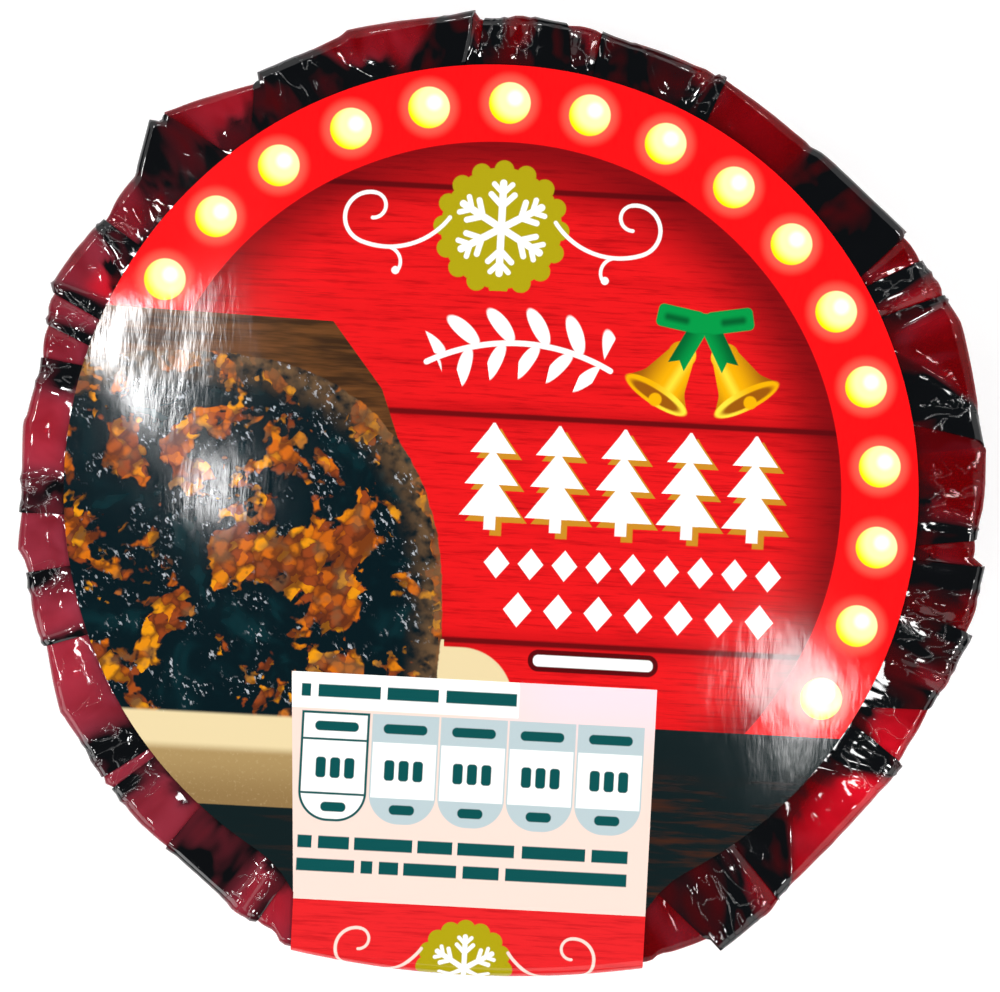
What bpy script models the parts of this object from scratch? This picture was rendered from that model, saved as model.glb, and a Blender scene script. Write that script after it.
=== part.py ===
"""A small steamed pudding in its basin, shut in a pleated sheet of clear red film under a round paper label.

The film is drawn up from a flat round base, tents outwards to a folded rim and is pleated flat over the top.
The label covers the top and sends one straight tail over the front of the rim and down the side.
Metres, +Z up. The origin is the middle of the base, and the tail points along -Y.
"""
import math

import bmesh
import bpy

# The wrapped basin
BASE_R = 0.0245            # where the film leaves the surface the pack stands on
BASE_ROUND = 0.0008        # the small turn between the base and the side
TOP_Z = 0.0405             # the flat top, under the label
RIM_ROUND = 0.0016         # how sharply the film turns over the rim
TAPER = math.radians(23.0)  # the side's lean, away from upright
PANEL_SAG = 0.0007         # how far the slack film between two pleats sinks in, half-way up
PLEAT_HALF = math.radians(0.4)  # half the width of the step where one panel laps the next
PANEL_STEP = math.radians(5.0)  # the widest gap between two points of one panel
SIDE_LEVELS = (0.0, 0.1, 0.24, 0.4, 0.58, 0.78, 1.0)  # shares of the way from the base to the rim
RIM_TURNS = 4              # rows round the turn of the rim
LAP_HEIGHT = 0.0003        # how far one panel stands over the next, on top

# The folded rim, one row for each pleat, anticlockwise from the right of the tail: where it is in degrees,
# how far out the panel before it reaches, in millimetres, and how far out the panel after it begins.
PLEATS = (
    (-69.5, 43.1, 42.8), (-60.5, 43.1, 44.6), (-51.7, 43.5, 43.2), (-30.6, 42.9, 42.6), (-13.6, 43.6, 43.2),
    (-5.5, 43.4, 42.4), (8.2, 43.4, 43.0), (17.0, 42.9, 42.5), (35.0, 42.0, 42.6), (49.5, 41.2, 40.9),
    (64.2, 41.5, 41.1), (75.2, 41.0, 40.7), (94.8, 40.9, 41.9), (110.7, 41.9, 41.6), (122.2, 41.7, 41.0),
    (134.8, 43.9, 43.9), (141.0, 41.5, 41.3), (158.0, 42.3, 41.9), (174.0, 40.7, 40.9), (190.4, 41.5, 41.1),
    (201.1, 41.2, 41.0), (210.4, 41.8, 41.4), (220.8, 42.0, 41.6), (231.4, 41.9, 41.6), (243.4, 42.8, 42.5),
    (249.5, 42.7, 43.1),
)

# The paper label
LABEL_R = 0.0371
TAIL_HALF_W = 0.0153
TAIL_END_Z = 0.0105        # how high above the base the tail ends
PAPER = 0.00035            # paper and its glue
PAPER_GAP = 0.0003         # between the paper and the film under it
LABEL_ARC_POINTS = 84
TAIL_COLUMNS = 8
TAIL_SIDE_ROWS = 6
TAIL_TURN_ROWS = 7

# The rim behind the tail, where the stiff paper holds the film in one gentle bend
FRONT_D = 0.0417
FRONT_BEND_R = 0.085       # how it bends along the rim
TAIL_EASE = 0.0016         # how far beside the tail the film takes to come free of it

TOP_RING_R = LABEL_R + 0.0004
TURN_Z = TOP_Z - RIM_ROUND
SIDE_TOP_Z = TURN_Z - RIM_ROUND * math.sin(TAPER)
SIDE_INSET = RIM_ROUND * (1.0 - math.cos(TAPER))


def clear_scene():
    """Take everything out of the scene."""
    for thing in list(bpy.data.objects):
        bpy.data.objects.remove(thing, do_unlink=True)


def mix(low, high, share):
    """The value that lies the given share of the way from low to high."""
    return low + (high - low) * share


def smooth(low, high, value):
    """0 below low, 1 above high, and a soft rise between them."""
    share = min(max((value - low) / (high - low), 0.0), 1.0)
    return share * share * (3.0 - 2.0 * share)


def panels():
    """Each panel of film between two pleats, as its start and end angle and its start and end reach."""
    laps = [(math.radians(angle), before / 1000.0, after / 1000.0) for angle, before, after in PLEATS]
    first_angle, first_before, _ = laps[0]
    ends = laps[1:] + [(first_angle + 2.0 * math.pi, first_before, 0.0)]
    return [(start[0], end[0], start[2], end[1]) for start, end in zip(laps, ends)]


def chord(angle, panel):
    """How far out the straight fold of a panel is, at an angle."""
    start, end, reach_start, reach_end = panel
    across = reach_start * math.sin(angle - start) + reach_end * math.sin(end - angle)
    return reach_start * reach_end * math.sin(end - start) / across


def rim_points():
    """The rim's outline: an angle, a reach and the share of the panel passed, for every point of a section."""
    points = []
    for panel in panels():
        start, end = panel[0] + PLEAT_HALF, panel[1] - PLEAT_HALF
        steps = max(2, math.ceil((end - start) / PANEL_STEP))
        for step in range(steps + 1):
            angle = mix(start, end, step / steps)
            points.append((angle, chord(angle, panel), step / steps))
    return points


def front_reach(angle, depth, bow):
    """How far out the film behind the tail is: a front at the given depth that bows back at its edges."""
    across, ahead = math.sin(angle), math.cos(angle)
    return 2.0 * depth / (ahead + math.sqrt(ahead * ahead + 4.0 * bow * depth * across * across))


def behind_tail(angle, reach, depth, bow):
    """The reach of the film at an angle, drawn flat where the tail lies on it."""
    off_front = (angle + math.pi / 2.0 + math.pi) % (2.0 * math.pi) - math.pi
    if abs(off_front) > math.pi / 4.0:
        return reach
    held = 1.0 - smooth(TAIL_HALF_W + 0.0004, TAIL_HALF_W + TAIL_EASE, abs(reach * math.sin(off_front)))
    return mix(reach, front_reach(off_front, depth, bow), held)


def ring(points, height, reach_of, lift_of=lambda share: 0.0):
    """One closed section, as (x, y, z) points."""
    section = []
    for angle, reach, share in points:
        out = reach_of(angle, reach, share)
        section.append((out * math.cos(angle), out * math.sin(angle), height + lift_of(share)))
    return section


def wrap_sections():
    """The sections of the wrapped basin, from the base up the side, round the rim and in over the top."""
    points = rim_points()
    sections = [ring(points, 0.0, lambda angle, reach, share: BASE_R - BASE_ROUND)]
    for level in SIDE_LEVELS:
        def side(angle, reach, share, level=level):
            sag = PANEL_SAG * math.sin(math.pi * share) * 4.0 * level * (1.0 - level)
            free = mix(BASE_R, reach - SIDE_INSET, level) - sag
            return behind_tail(angle, free, mix(BASE_R, FRONT_D - SIDE_INSET, level), front_bow(level))
        sections.append(ring(points, mix(BASE_ROUND, SIDE_TOP_Z, level), side))
    for turn in range(1, RIM_TURNS + 1):
        around = mix(-TAPER, math.pi / 2.0, turn / RIM_TURNS)
        inset = RIM_ROUND * (1.0 - math.cos(around))

        def rim(angle, reach, share, inset=inset):
            return behind_tail(angle, reach - inset, FRONT_D - inset, front_bow(1.0))
        lift = smooth(-TAPER, math.pi / 2.0, around) * LAP_HEIGHT
        height = TURN_Z + RIM_ROUND * math.sin(around)
        sections.append(ring(points, height, rim, lambda share, lift=lift: lift * share))
    sections.append(ring(points, TOP_Z, lambda angle, reach, share: TOP_RING_R))
    return sections


def front_bow(level):
    """How much the film behind the tail bows, per metre: as round as the base, and gently bent at the rim."""
    return mix(1.0 / (2.0 * BASE_R), 1.0 / (2.0 * FRONT_BEND_R), level)


def loft(name, sections):
    """A closed solid through sections of equally many points."""
    count = len(sections[0])
    solid = bmesh.new()
    rows = [[solid.verts.new(point) for point in section] for section in sections]
    for low, high in zip(rows, rows[1:]):
        for i in range(count):
            j = (i + 1) % count
            solid.faces.new((low[i], low[j], high[j], high[i]))
    solid.faces.new(list(reversed(rows[0])))
    solid.faces.new(rows[-1])
    bmesh.ops.recalc_face_normals(solid, faces=solid.faces)
    mesh = bpy.data.meshes.new(name)
    solid.to_mesh(mesh)
    solid.free()
    return bpy.data.objects.new(name, mesh)


def tail_line():
    """The tail seen from its side, from the label to its end: how far forward, how high, and its bow."""
    start = math.sqrt(LABEL_R ** 2 - TAIL_HALF_W ** 2)
    centre = FRONT_D - RIM_ROUND
    turn_r = RIM_ROUND + PAPER_GAP
    bend = front_bow(1.0)
    line = [(start, TOP_Z + PAPER_GAP, 0.0), (mix(start, centre, 0.5), TOP_Z + PAPER_GAP, 0.5 * bend)]
    for row in range(TAIL_TURN_ROWS + 1):
        around = mix(math.pi / 2.0, -TAPER, row / TAIL_TURN_ROWS)
        line.append((centre + turn_r * math.cos(around), TURN_Z + turn_r * math.sin(around), bend))
    _, top_z, _ = line[-1]
    for row in range(1, TAIL_SIDE_ROWS + 1):
        height = mix(top_z, TAIL_END_Z, row / TAIL_SIDE_ROWS)
        level = (height - BASE_ROUND) / (SIDE_TOP_Z - BASE_ROUND)
        ahead = mix(BASE_R, FRONT_D - SIDE_INSET, level) + PAPER_GAP / math.cos(TAPER)
        line.append((ahead, height, front_bow(level)))
    return line


def make_label():
    """The paper label: a flat disc with a tail that turns over the rim, thickened outwards."""
    sheet = bmesh.new()
    across = [mix(-TAIL_HALF_W, TAIL_HALF_W, column / TAIL_COLUMNS) for column in range(TAIL_COLUMNS + 1)]
    rows = [[sheet.verts.new((x, -ahead + bow * x * x, z)) for x in across] for ahead, z, bow in tail_line()]
    corner = math.asin(TAIL_HALF_W / LABEL_R)
    first, last = -math.pi / 2.0 + corner, 1.5 * math.pi - corner
    edge = []
    for step in range(1, LABEL_ARC_POINTS):
        angle = mix(first, last, step / LABEL_ARC_POINTS)
        point = (LABEL_R * math.cos(angle), LABEL_R * math.sin(angle), TOP_Z + PAPER_GAP)
        edge.append(sheet.verts.new(point))
    sheet.faces.new(rows[0] + edge)
    for upper, lower in zip(rows, rows[1:]):
        for i in range(TAIL_COLUMNS):
            sheet.faces.new((lower[i], lower[i + 1], upper[i + 1], upper[i]))
    mesh = bpy.data.meshes.new("label")
    sheet.to_mesh(mesh)
    sheet.free()
    label = bpy.data.objects.new("label", mesh)
    paper = label.modifiers.new("paper", "SOLIDIFY")
    paper.thickness = PAPER
    paper.offset = 1.0
    paper.use_even_offset = True
    return label


def material(name, colour, roughness, metallic=0.0):
    """A plain finish in one colour."""
    finish = bpy.data.materials.new(name)
    finish.use_nodes = True
    shader = finish.node_tree.nodes["Principled BSDF"]
    shader.inputs["Base Color"].default_value = (*colour, 1.0)
    shader.inputs["Roughness"].default_value = roughness
    shader.inputs["Metallic"].default_value = metallic
    return finish


def add(collection, thing, finish):
    """Put a piece in the collection with its finish."""
    collection.objects.link(thing)
    thing.data.materials.append(finish)
    thing.data.shade_smooth()
    thing.data.set_sharp_from_angle(angle=math.radians(25.0))


def main():
    """Build the wrapped basin and its label."""
    clear_scene()
    parts = bpy.data.collections.new("wrapped_pudding")
    bpy.context.scene.collection.children.link(parts)
    add(parts, loft("film_wrap", wrap_sections()), material("red film", (0.22, 0.01, 0.02), 0.12))
    add(parts, make_label(), material("printed paper", (0.75, 0.02, 0.02), 0.35))


main()
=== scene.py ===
"""Looks of a small steamed pudding, shut in pleated red film under a round printed label.

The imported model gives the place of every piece: the wrapped basin and the label. This script puts the fine
folded film, the dark basin inside it and the printed paper round that frame. Metres, +Z up, tail towards -Y.
"""
import logging
import math
from dataclasses import dataclass, field
from enum import Enum
from typing import Any, Callable, Iterable, Sequence, Union

import bmesh
import bpy
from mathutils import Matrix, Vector


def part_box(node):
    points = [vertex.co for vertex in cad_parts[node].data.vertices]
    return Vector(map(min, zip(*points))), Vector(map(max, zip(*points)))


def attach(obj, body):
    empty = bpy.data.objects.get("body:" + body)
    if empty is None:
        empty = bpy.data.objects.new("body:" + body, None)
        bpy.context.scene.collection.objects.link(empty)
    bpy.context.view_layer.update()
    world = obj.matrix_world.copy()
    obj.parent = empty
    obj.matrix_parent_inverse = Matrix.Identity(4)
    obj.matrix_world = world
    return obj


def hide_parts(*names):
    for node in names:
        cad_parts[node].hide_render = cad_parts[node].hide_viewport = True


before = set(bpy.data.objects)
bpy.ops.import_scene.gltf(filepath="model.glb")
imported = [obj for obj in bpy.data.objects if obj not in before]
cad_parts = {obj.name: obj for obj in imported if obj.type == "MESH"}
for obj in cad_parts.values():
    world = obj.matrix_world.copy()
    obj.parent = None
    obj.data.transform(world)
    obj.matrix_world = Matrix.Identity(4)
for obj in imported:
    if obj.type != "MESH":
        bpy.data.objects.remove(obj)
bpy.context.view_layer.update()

MM = 0.001
INK_STRENGTH = 0.99     # how far the inks stay under full white in the studio's light
Colour = tuple[float, float, float]
Number = Union[int, float]
log = logging.getLogger("pudding")


# ---- Small sums ----

def mix(low: float, high: float, share: float) -> float:
    """Return the number that lies the given share of the way from low to high."""
    return low + (high - low) * share


def smooth(low: float, high: float, value: float) -> float:
    """Return 0 below low, 1 above high, and a soft rise between them."""
    share = min(max((value - low) / (high - low), 0.0), 1.0)
    return share * share * (3.0 - 2.0 * share)


def apart(angle: float, other: float) -> float:
    """Return how many degrees lie between two angles, the short way round."""
    return abs((angle - other + 180.0) % 360.0 - 180.0)


def from_front(angle: float) -> float:
    """Return how far an angle is from the front, in radians from -pi to pi."""
    return (angle + 1.5 * math.pi) % (2.0 * math.pi) - math.pi


def linear(level: int) -> float:
    """Return a screen level of 0 to 255 as a linear share of light."""
    share = level / 255.0
    return share / 12.92 if share <= 0.04045 else ((share + 0.055) / 1.055) ** 2.4


def ink(red: int, green: int, blue: int) -> Colour:
    """Return a screen colour of 0 to 255 as the linear colour that shaders take."""
    return tuple(INK_STRENGTH * linear(level) for level in (red, green, blue))


# ---- Shader expressions ----

class Value:
    """One number that varies over a surface: a socket that takes Python's operators."""

    def __init__(self, graph: "Nodes", socket: bpy.types.NodeSocket) -> None:
        """Wrap a float socket of a node tree."""
        self.graph, self.socket = graph, socket

    def __add__(self, other: "Operand") -> "Value":
        """Add."""
        return self.graph.sum("ADD", self, other)

    def __radd__(self, other: Number) -> "Value":
        """Add, reflected."""
        return self.graph.sum("ADD", other, self)

    def __sub__(self, other: "Operand") -> "Value":
        """Subtract."""
        return self.graph.sum("SUBTRACT", self, other)

    def __rsub__(self, other: Number) -> "Value":
        """Subtract, reflected."""
        return self.graph.sum("SUBTRACT", other, self)

    def __mul__(self, other: "Operand") -> "Value":
        """Multiply."""
        return self.graph.sum("MULTIPLY", self, other)

    def __rmul__(self, other: Number) -> "Value":
        """Multiply, reflected."""
        return self.graph.sum("MULTIPLY", other, self)

    def __truediv__(self, other: "Operand") -> "Value":
        """Divide."""
        return self.graph.sum("DIVIDE", self, other)

    def __rtruediv__(self, other: Number) -> "Value":
        """Divide, reflected."""
        return self.graph.sum("DIVIDE", other, self)

    def __mod__(self, other: "Operand") -> "Value":
        """Remainder that is never negative."""
        return self.graph.sum("FLOORED_MODULO", self, other)

    def __abs__(self) -> "Value":
        """Distance from zero."""
        return self.graph.sum("ABSOLUTE", self)

    def __neg__(self) -> "Value":
        """Opposite."""
        return self.graph.sum("MULTIPLY", -1.0, self)

    def least(self, other: "Operand") -> "Value":
        """Return the smaller of the two."""
        return self.graph.sum("MINIMUM", self, other)

    def most(self, other: "Operand") -> "Value":
        """Return the larger of the two."""
        return self.graph.sum("MAXIMUM", self, other)

    def rise(self, low: float, high: float) -> "Value":
        """Return 0 at low and 1 at high with a soft rise; low may be above high.

        Args:
            low: Where the rise starts.
            high: Where it ends.

        Returns:
            The risen value.
        """
        node = self.graph.make("ShaderNodeMapRange", {"interpolation_type": "SMOOTHSTEP", "clamp": True},
                               {"Value": self, "From Min": low, "From Max": high})
        return Value(self.graph, node.outputs["Result"])

    def inside(self, edge: float = 0.0, soft: float = 0.05) -> "Value":
        """Return 1 where this distance is below edge and 0 past it, with a soft border."""
        return self.rise(edge + soft, edge - soft)


class Place:
    """A point on a surface, in millimetres: a vector socket with the moves that a pattern needs."""

    def __init__(self, graph: "Nodes", socket: bpy.types.NodeSocket) -> None:
        """Wrap a vector socket of a node tree."""
        self.graph, self.socket = graph, socket
        self._parts: tuple[Value, ...] = ()

    def _split(self) -> tuple[Value, ...]:
        """Return the point's three coordinates.

        Returns:
            The coordinates across, up and out.
        """
        if not self._parts:
            node = self.graph.make("ShaderNodeSeparateXYZ", {}, {"Vector": self})
            self._parts = tuple(Value(self.graph, socket) for socket in node.outputs)
        return self._parts

    @property
    def x(self) -> Value:
        """Coordinate across."""
        return self._split()[0]

    @property
    def y(self) -> Value:
        """Coordinate up."""
        return self._split()[1]

    @property
    def z(self) -> Value:
        """Coordinate out."""
        return self._split()[2]

    def shift(self, x: float, y: float) -> "Place":
        """Return the point as seen from (x, y)."""
        return self.graph.vector("SUBTRACT", self, (x, y, 0.0))

    def scaled(self, x: float, y: float, z: float = 1.0) -> "Place":
        """Return the point with each coordinate multiplied."""
        return self.graph.vector("MULTIPLY", self, (x, y, z))

    def plus(self, other: "Place") -> "Place":
        """Return the point moved by another."""
        return self.graph.vector("ADD", self, other)

    def turned(self, degrees: float) -> "Place":
        """Return the point in axes that are turned anticlockwise by an angle.

        Args:
            degrees: The angle.

        Returns:
            The same point in the turned axes.
        """
        node = self.graph.make("ShaderNodeVectorRotate", {"rotation_type": "Z_AXIS"},
                               {"Vector": self, "Angle": -math.radians(degrees)})
        return Place(self.graph, node.outputs["Vector"])

    def mirrored(self) -> "Place":
        """Return the point folded over the line x = 0."""
        return self.graph.place(abs(self.x), self.y)

    def reach(self) -> Value:
        """Return the distance from the origin."""
        node = self.graph.make("ShaderNodeVectorMath", {"operation": "LENGTH"}, {0: self})
        return Value(self.graph, node.outputs["Value"])

    def bearing(self) -> Value:
        """Return the anticlockwise angle from +X, in radians."""
        return self.graph.sum("ARCTAN2", self.y, self.x)

    def folded(self, count: int, start: float = 0.0) -> "Place":
        """Return the point folded into one of equal sectors, whose middle is turned to +X.

        Args:
            count: How many sectors go round.
            start: Where the middle of the first one is, in degrees.

        Returns:
            The folded point.
        """
        sector = 2.0 * math.pi / count
        angle = (self.bearing() - math.radians(start) + sector / 2.0) % sector - sector / 2.0
        reach = self.reach()
        return self.graph.place(reach * self.graph.sum("COSINE", angle),
                                reach * self.graph.sum("SINE", angle))


class Tone:
    """A colour that varies over a surface."""

    def __init__(self, graph: "Nodes", socket: bpy.types.NodeSocket) -> None:
        """Wrap a colour socket of a node tree."""
        self.graph, self.socket = graph, socket

    def under(self, paint: "Paint", share: "Operand") -> "Tone":
        """Return this colour with paint laid over it by a share."""
        return self.graph.blend(self, paint, share)


Operand = Union[Value, int, float]
Paint = Union[Tone, Colour]
Feed = Union[Value, Place, Tone, int, float, Sequence[float], bpy.types.NodeSocket]


class Nodes:
    """A node tree, made by expressions."""

    def __init__(self, tree: bpy.types.NodeTree) -> None:
        """Wrap a tree."""
        self.tree = tree

    def make(self, kind: str, settings: dict[str, Any], feeds: dict[Union[str, int], Feed]) -> bpy.types.Node:
        """Make a node.

        Args:
            kind: The node's type.
            settings: The node's own settings, which are set first; "stops" are a colour ramp's.
            feeds: The value or the link of each socket, by name or place.

        Returns:
            The node.
        """
        node = self.tree.nodes.new(kind)
        for name, setting in settings.items():
            if name == "stops":
                self._stops(node.color_ramp, setting)
            else:
                setattr(node, name, setting)
        for name, feed in feeds.items():
            self._feed(node.inputs[name], feed)
        return node

    def _stops(self, ramp: bpy.types.ColorRamp, stops: Sequence[tuple[float, Colour]]) -> None:
        """Set a colour ramp's stops.

        Args:
            ramp: The colour ramp.
            stops: Each stop's place and colour.
        """
        while len(ramp.elements) < len(stops):
            ramp.elements.new(0.5)
        for element, (place, colour) in zip(ramp.elements, stops):
            element.position, element.color = place, (*colour, 1.0)

    def _feed(self, socket: bpy.types.NodeSocket, feed: Feed) -> None:
        """Link a socket, or set its value.

        Args:
            socket: The node's input.
            feed: A link's start, or the value.
        """
        if isinstance(feed, (Value, Place, Tone)):
            self.tree.links.new(feed.socket, socket)
        elif isinstance(feed, bpy.types.NodeSocket):
            self.tree.links.new(feed, socket)
        elif socket.type == "RGBA":
            socket.default_value = (*feed[:3], 1.0)
        else:
            socket.default_value = feed

    def sum(self, operation: str, *terms: Operand) -> Value:
        """Return one Math node's result."""
        node = self.make("ShaderNodeMath", {"operation": operation}, dict(enumerate(terms)))
        return Value(self, node.outputs["Value"])

    def vector(self, operation: str, *terms: Feed) -> Place:
        """Return one Vector Math node's result."""
        node = self.make("ShaderNodeVectorMath", {"operation": operation}, dict(enumerate(terms)))
        return Place(self, node.outputs["Vector"])

    def place(self, x: Operand, y: Operand, z: Operand = 0.0) -> Place:
        """Return a point of two or three coordinates."""
        node = self.make("ShaderNodeCombineXYZ", {}, {"X": x, "Y": y, "Z": z})
        return Place(self, node.outputs["Vector"])


class Graph(Nodes):
    """A material's nodes."""

    def __init__(self, name: str) -> None:
        """Start an empty material with a name.

        Args:
            name: The material's name.
        """
        self.material = bpy.data.materials.new(name)
        self.material.use_nodes = True
        super().__init__(self.material.node_tree)
        self.tree.nodes.clear()

    def blend(self, low: Paint, high: Paint, share: Operand) -> Tone:
        """Return a mix of two colours."""
        node = self.make("ShaderNodeMix", {"data_type": "RGBA"}, {"Factor": share, 6: low, 7: high})
        return Tone(self, node.outputs[2])

    def attribute(self, name: str) -> bpy.types.Node:
        """Return the node that reads a mesh attribute."""
        return self.make("ShaderNodeAttribute", {"attribute_name": name}, {})

    def object_place(self) -> Place:
        """Return the point's place in millimetres, in the object's own axes."""
        node = self.make("ShaderNodeTexCoord", {}, {})
        return Place(self, node.outputs["Object"]).scaled(1.0 / MM, 1.0 / MM, 1.0 / MM)

    def noise(self, where: Place, size: float, detail: float = 2.0, rough: float = 0.5,
              warp: float = 0.0) -> Value:
        """Return soft noise from 0 to 1.

        Args:
            where: The point that it follows.
            size: The width of one blot, in millimetres.
            detail: How many finer layers it has.
            rough: How strong the finer layers are.
            warp: How far it is drawn out of shape.

        Returns:
            The noise.
        """
        node = self.make("ShaderNodeTexNoise", {}, {"Vector": where, "Scale": 1.0 / size, "Detail": detail,
                                                    "Roughness": rough, "Distortion": warp})
        return Value(self, node.outputs["Fac"])

    def cells(self, where: Place, size: float, output: str = "Distance") -> bpy.types.NodeSocket:
        """Return one output of a pattern of cells."""
        node = self.make("ShaderNodeTexVoronoi", {}, {"Vector": where, "Scale": 1.0 / size})
        return node.outputs[output]

    def bump(self, height: Value, strength: float, distance: float) -> bpy.types.Node:
        """Return a Bump node of a height, with its depth in metres."""
        return self.make("ShaderNodeBump", {}, {"Height": height, "Strength": strength, "Distance": distance})

    def principled(self, feeds: dict[Union[str, int], Feed]) -> bpy.types.Node:
        """Return a Principled shader."""
        return self.make("ShaderNodeBsdfPrincipled", {}, feeds)

    def finish(self, shader: bpy.types.NodeSocket) -> bpy.types.Material:
        """Send a shader to the output and return the material."""
        self.make("ShaderNodeOutputMaterial", {}, {"Surface": shader})
        return self.material


# ---- The frame's sizes ----

@dataclass(frozen=True)
class Pack:
    """Sizes that the pieces share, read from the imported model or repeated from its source."""

    label_r: float
    label_top: float
    label_low: float
    base_r: float = 24.5 * MM
    base_round: float = 0.8 * MM
    rim_round: float = 0.65 * MM
    taper: float = math.radians(23.0)
    sag: float = 0.7 * MM
    front: float = 41.7 * MM
    front_bend: float = 85.0 * MM
    paper_gap: float = 0.3 * MM
    paper: float = 0.35 * MM

    @classmethod
    def read(cls) -> "Pack":
        """Return the sizes, with the label's own taken from the frame."""
        low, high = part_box("label")
        return cls(label_r=high.y, label_top=high.z, label_low=low.z)

    @property
    def top_z(self) -> float:
        """Height of the film under the label."""
        return self.label_top - self.paper - self.paper_gap

    @property
    def turn_z(self) -> float:
        """Height of the middle of the rim's turn."""
        return self.top_z - self.rim_round

    @property
    def side_top(self) -> float:
        """Height at which the side meets the rim's turn."""
        return self.turn_z - self.rim_round * math.sin(self.taper)

    @property
    def side_inset(self) -> float:
        """How far the top of the side lies inside the rim."""
        return self.rim_round * (1.0 - math.cos(self.taper))

    def bow(self, level: float) -> float:
        """Return how much the film behind the tail bows: round at the base, gently bent at the rim."""
        return mix(1.0 / (2.0 * self.base_r), 1.0 / (2.0 * self.front_bend), level)


PACK = Pack.read()


class Lap(Enum):
    """Which panel of film lies on top at a tuck, going anticlockwise."""

    BEFORE = 1
    AFTER = -1


@dataclass(frozen=True)
class Corner:
    """A corner of the film's outline: its angle, and how far out it is on both sides, in millimetres."""

    angle: float
    before: float
    after: float


@dataclass(frozen=True)
class Tuck:
    """A knife pleat: where the film lies three deep at the rim and by the label, in degrees, and its lap."""

    start: float
    end: float
    inner_start: float
    inner_end: float
    lap: Lap


B, A = Lap.BEFORE, Lap.AFTER
# the outline's corners, anticlockwise from the tail's right
CORNERS = tuple(Corner(*row) for row in (
    (-69.5, 43.1, 42.8), (-60.5, 43.4, 44.6), (-51.7, 43.5, 43.2), (-30.6, 42.9, 42.6), (-13.6, 43.6, 43.2),
    (-5.5, 43.4, 42.4), (8.2, 43.4, 43.0), (17.0, 42.9, 42.9), (23.0, 43.3, 43.3), (30.0, 42.6, 42.5),
    (35.0, 42.3, 42.6), (49.5, 41.2, 40.9), (64.2, 41.5, 41.1), (75.2, 41.0, 40.9), (80.0, 41.2, 41.2),
    (87.0, 41.4, 41.4), (94.8, 41.1, 41.9), (110.7, 41.9, 41.6), (122.2, 41.7, 41.0), (133.7, 43.7, 43.7),
    (134.6, 43.0, 43.0), (135.5, 43.9, 43.9), (141.0, 41.5, 41.3), (158.0, 42.3, 41.9), (174.0, 40.7, 40.9),
    (190.4, 41.5, 41.1), (201.1, 41.2, 41.0), (210.4, 42.0, 41.8), (220.8, 42.1, 41.9), (231.4, 42.0, 41.8),
    (243.4, 42.8, 42.5), (249.5, 42.7, 43.1)))
# the pleats: start and end at the rim, start and end by the label, and which panel is on top
TUCKS = tuple(Tuck(*row) for row in (
    (-70.3, -69.5, -70.0, -68.0, B), (-60.5, -54.8, -65.0, -53.6, A), (-51.7, -50.8, -52.4, -42.0, A),
    (-31.8, -30.6, -37.5, -29.5, B), (-22.6, -21.2, -27.5, -20.2, A), (-18.8, -13.6, -19.2, -12.6, B),
    (-9.2, -5.5, -11.0, -6.2, B), (-2.4, -1.2, -4.4, 0.2, A), (8.2, 11.4, 12.2, 22.6, A),
    (25.6, 26.4, 24.4, 27.2, B), (29.0, 31.2, 28.2, 31.8, B), (35.0, 50.2, 33.0, 50.8, A),
    (63.4, 64.6, 62.6, 66.2, A), (75.2, 79.4, 67.6, 79.2, B), (84.0, 88.2, 81.6, 88.8, A),
    (91.0, 93.6, 90.0, 95.4, B), (94.8, 98.6, 96.8, 106.6, A), (115.4, 122.2, 107.8, 127.8, B),
    (134.6, 141.2, 130.6, 146.8, A), (147.8, 148.8, 148.0, 153.2, A), (157.2, 158.4, 156.2, 159.4, B),
    (161.2, 162.2, 160.6, 163.2, B), (166.4, 170.0, 165.6, 170.4, A), (180.6, 185.4, 180.2, 186.2, B),
    (192.8, 195.6, 193.0, 195.9, A), (201.0, 202.0, 200.8, 202.6, B), (213.8, 219.2, 213.8, 220.0, B),
    (221.0, 223.6, 221.2, 224.0, A), (230.6, 240.2, 230.2, 241.4, A), (243.0, 244.2, 243.0, 245.4, B),
    (249.2, 250.6, 249.0, 251.0, B), (262.0, 264.5, 262.0, 264.5, A), (277.0, 279.0, 277.0, 279.0, B)))
CRUMPLED = (  # where the film is most crumpled: middle and half width in degrees, and how much
    (-57.0, 7.0, 0.7), (-31.0, 8.0, 1.0), (-15.0, 8.0, 1.5), (3.0, 6.0, 0.7), (13.0, 4.0, 0.7),
    (29.0, 4.5, 1.3), (55.0, 5.0, 0.4), (65.0, 3.5, 1.1), (80.0, 5.0, 0.6), (91.0, 7.0, 0.8),
    (118.0, 6.0, 0.6), (149.0, 5.0, 0.7), (161.0, 4.5, 1.2), (168.0, 3.5, 1.0), (183.0, 4.5, 1.0),
    (194.0, 3.5, 1.0), (208.0, 6.0, 0.7), (217.0, 4.5, 1.0), (222.5, 3.5, 1.0), (243.0, 5.0, 1.1))
GATHERED = (  # where the film is gathered dark by the label: middle, half width in degrees, and how far out
    (-56.0, 9.0, 0.42), (-44.0, 8.0, 0.30), (-33.0, 8.0, 0.50), (-22.0, 6.0, 0.52), (-11.0, 8.0, 0.72),
    (2.0, 5.0, 0.3), (71.0, 9.0, 0.95), (84.0, 8.0, 0.80), (98.0, 9.0, 0.55), (110.0, 9.0, 0.48),
    (124.0, 9.0, 0.60), (141.0, 8.0, 0.60), (151.0, 5.0, 0.46), (226.0, 6.0, 0.3), (244.0, 5.0, 0.3))
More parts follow.
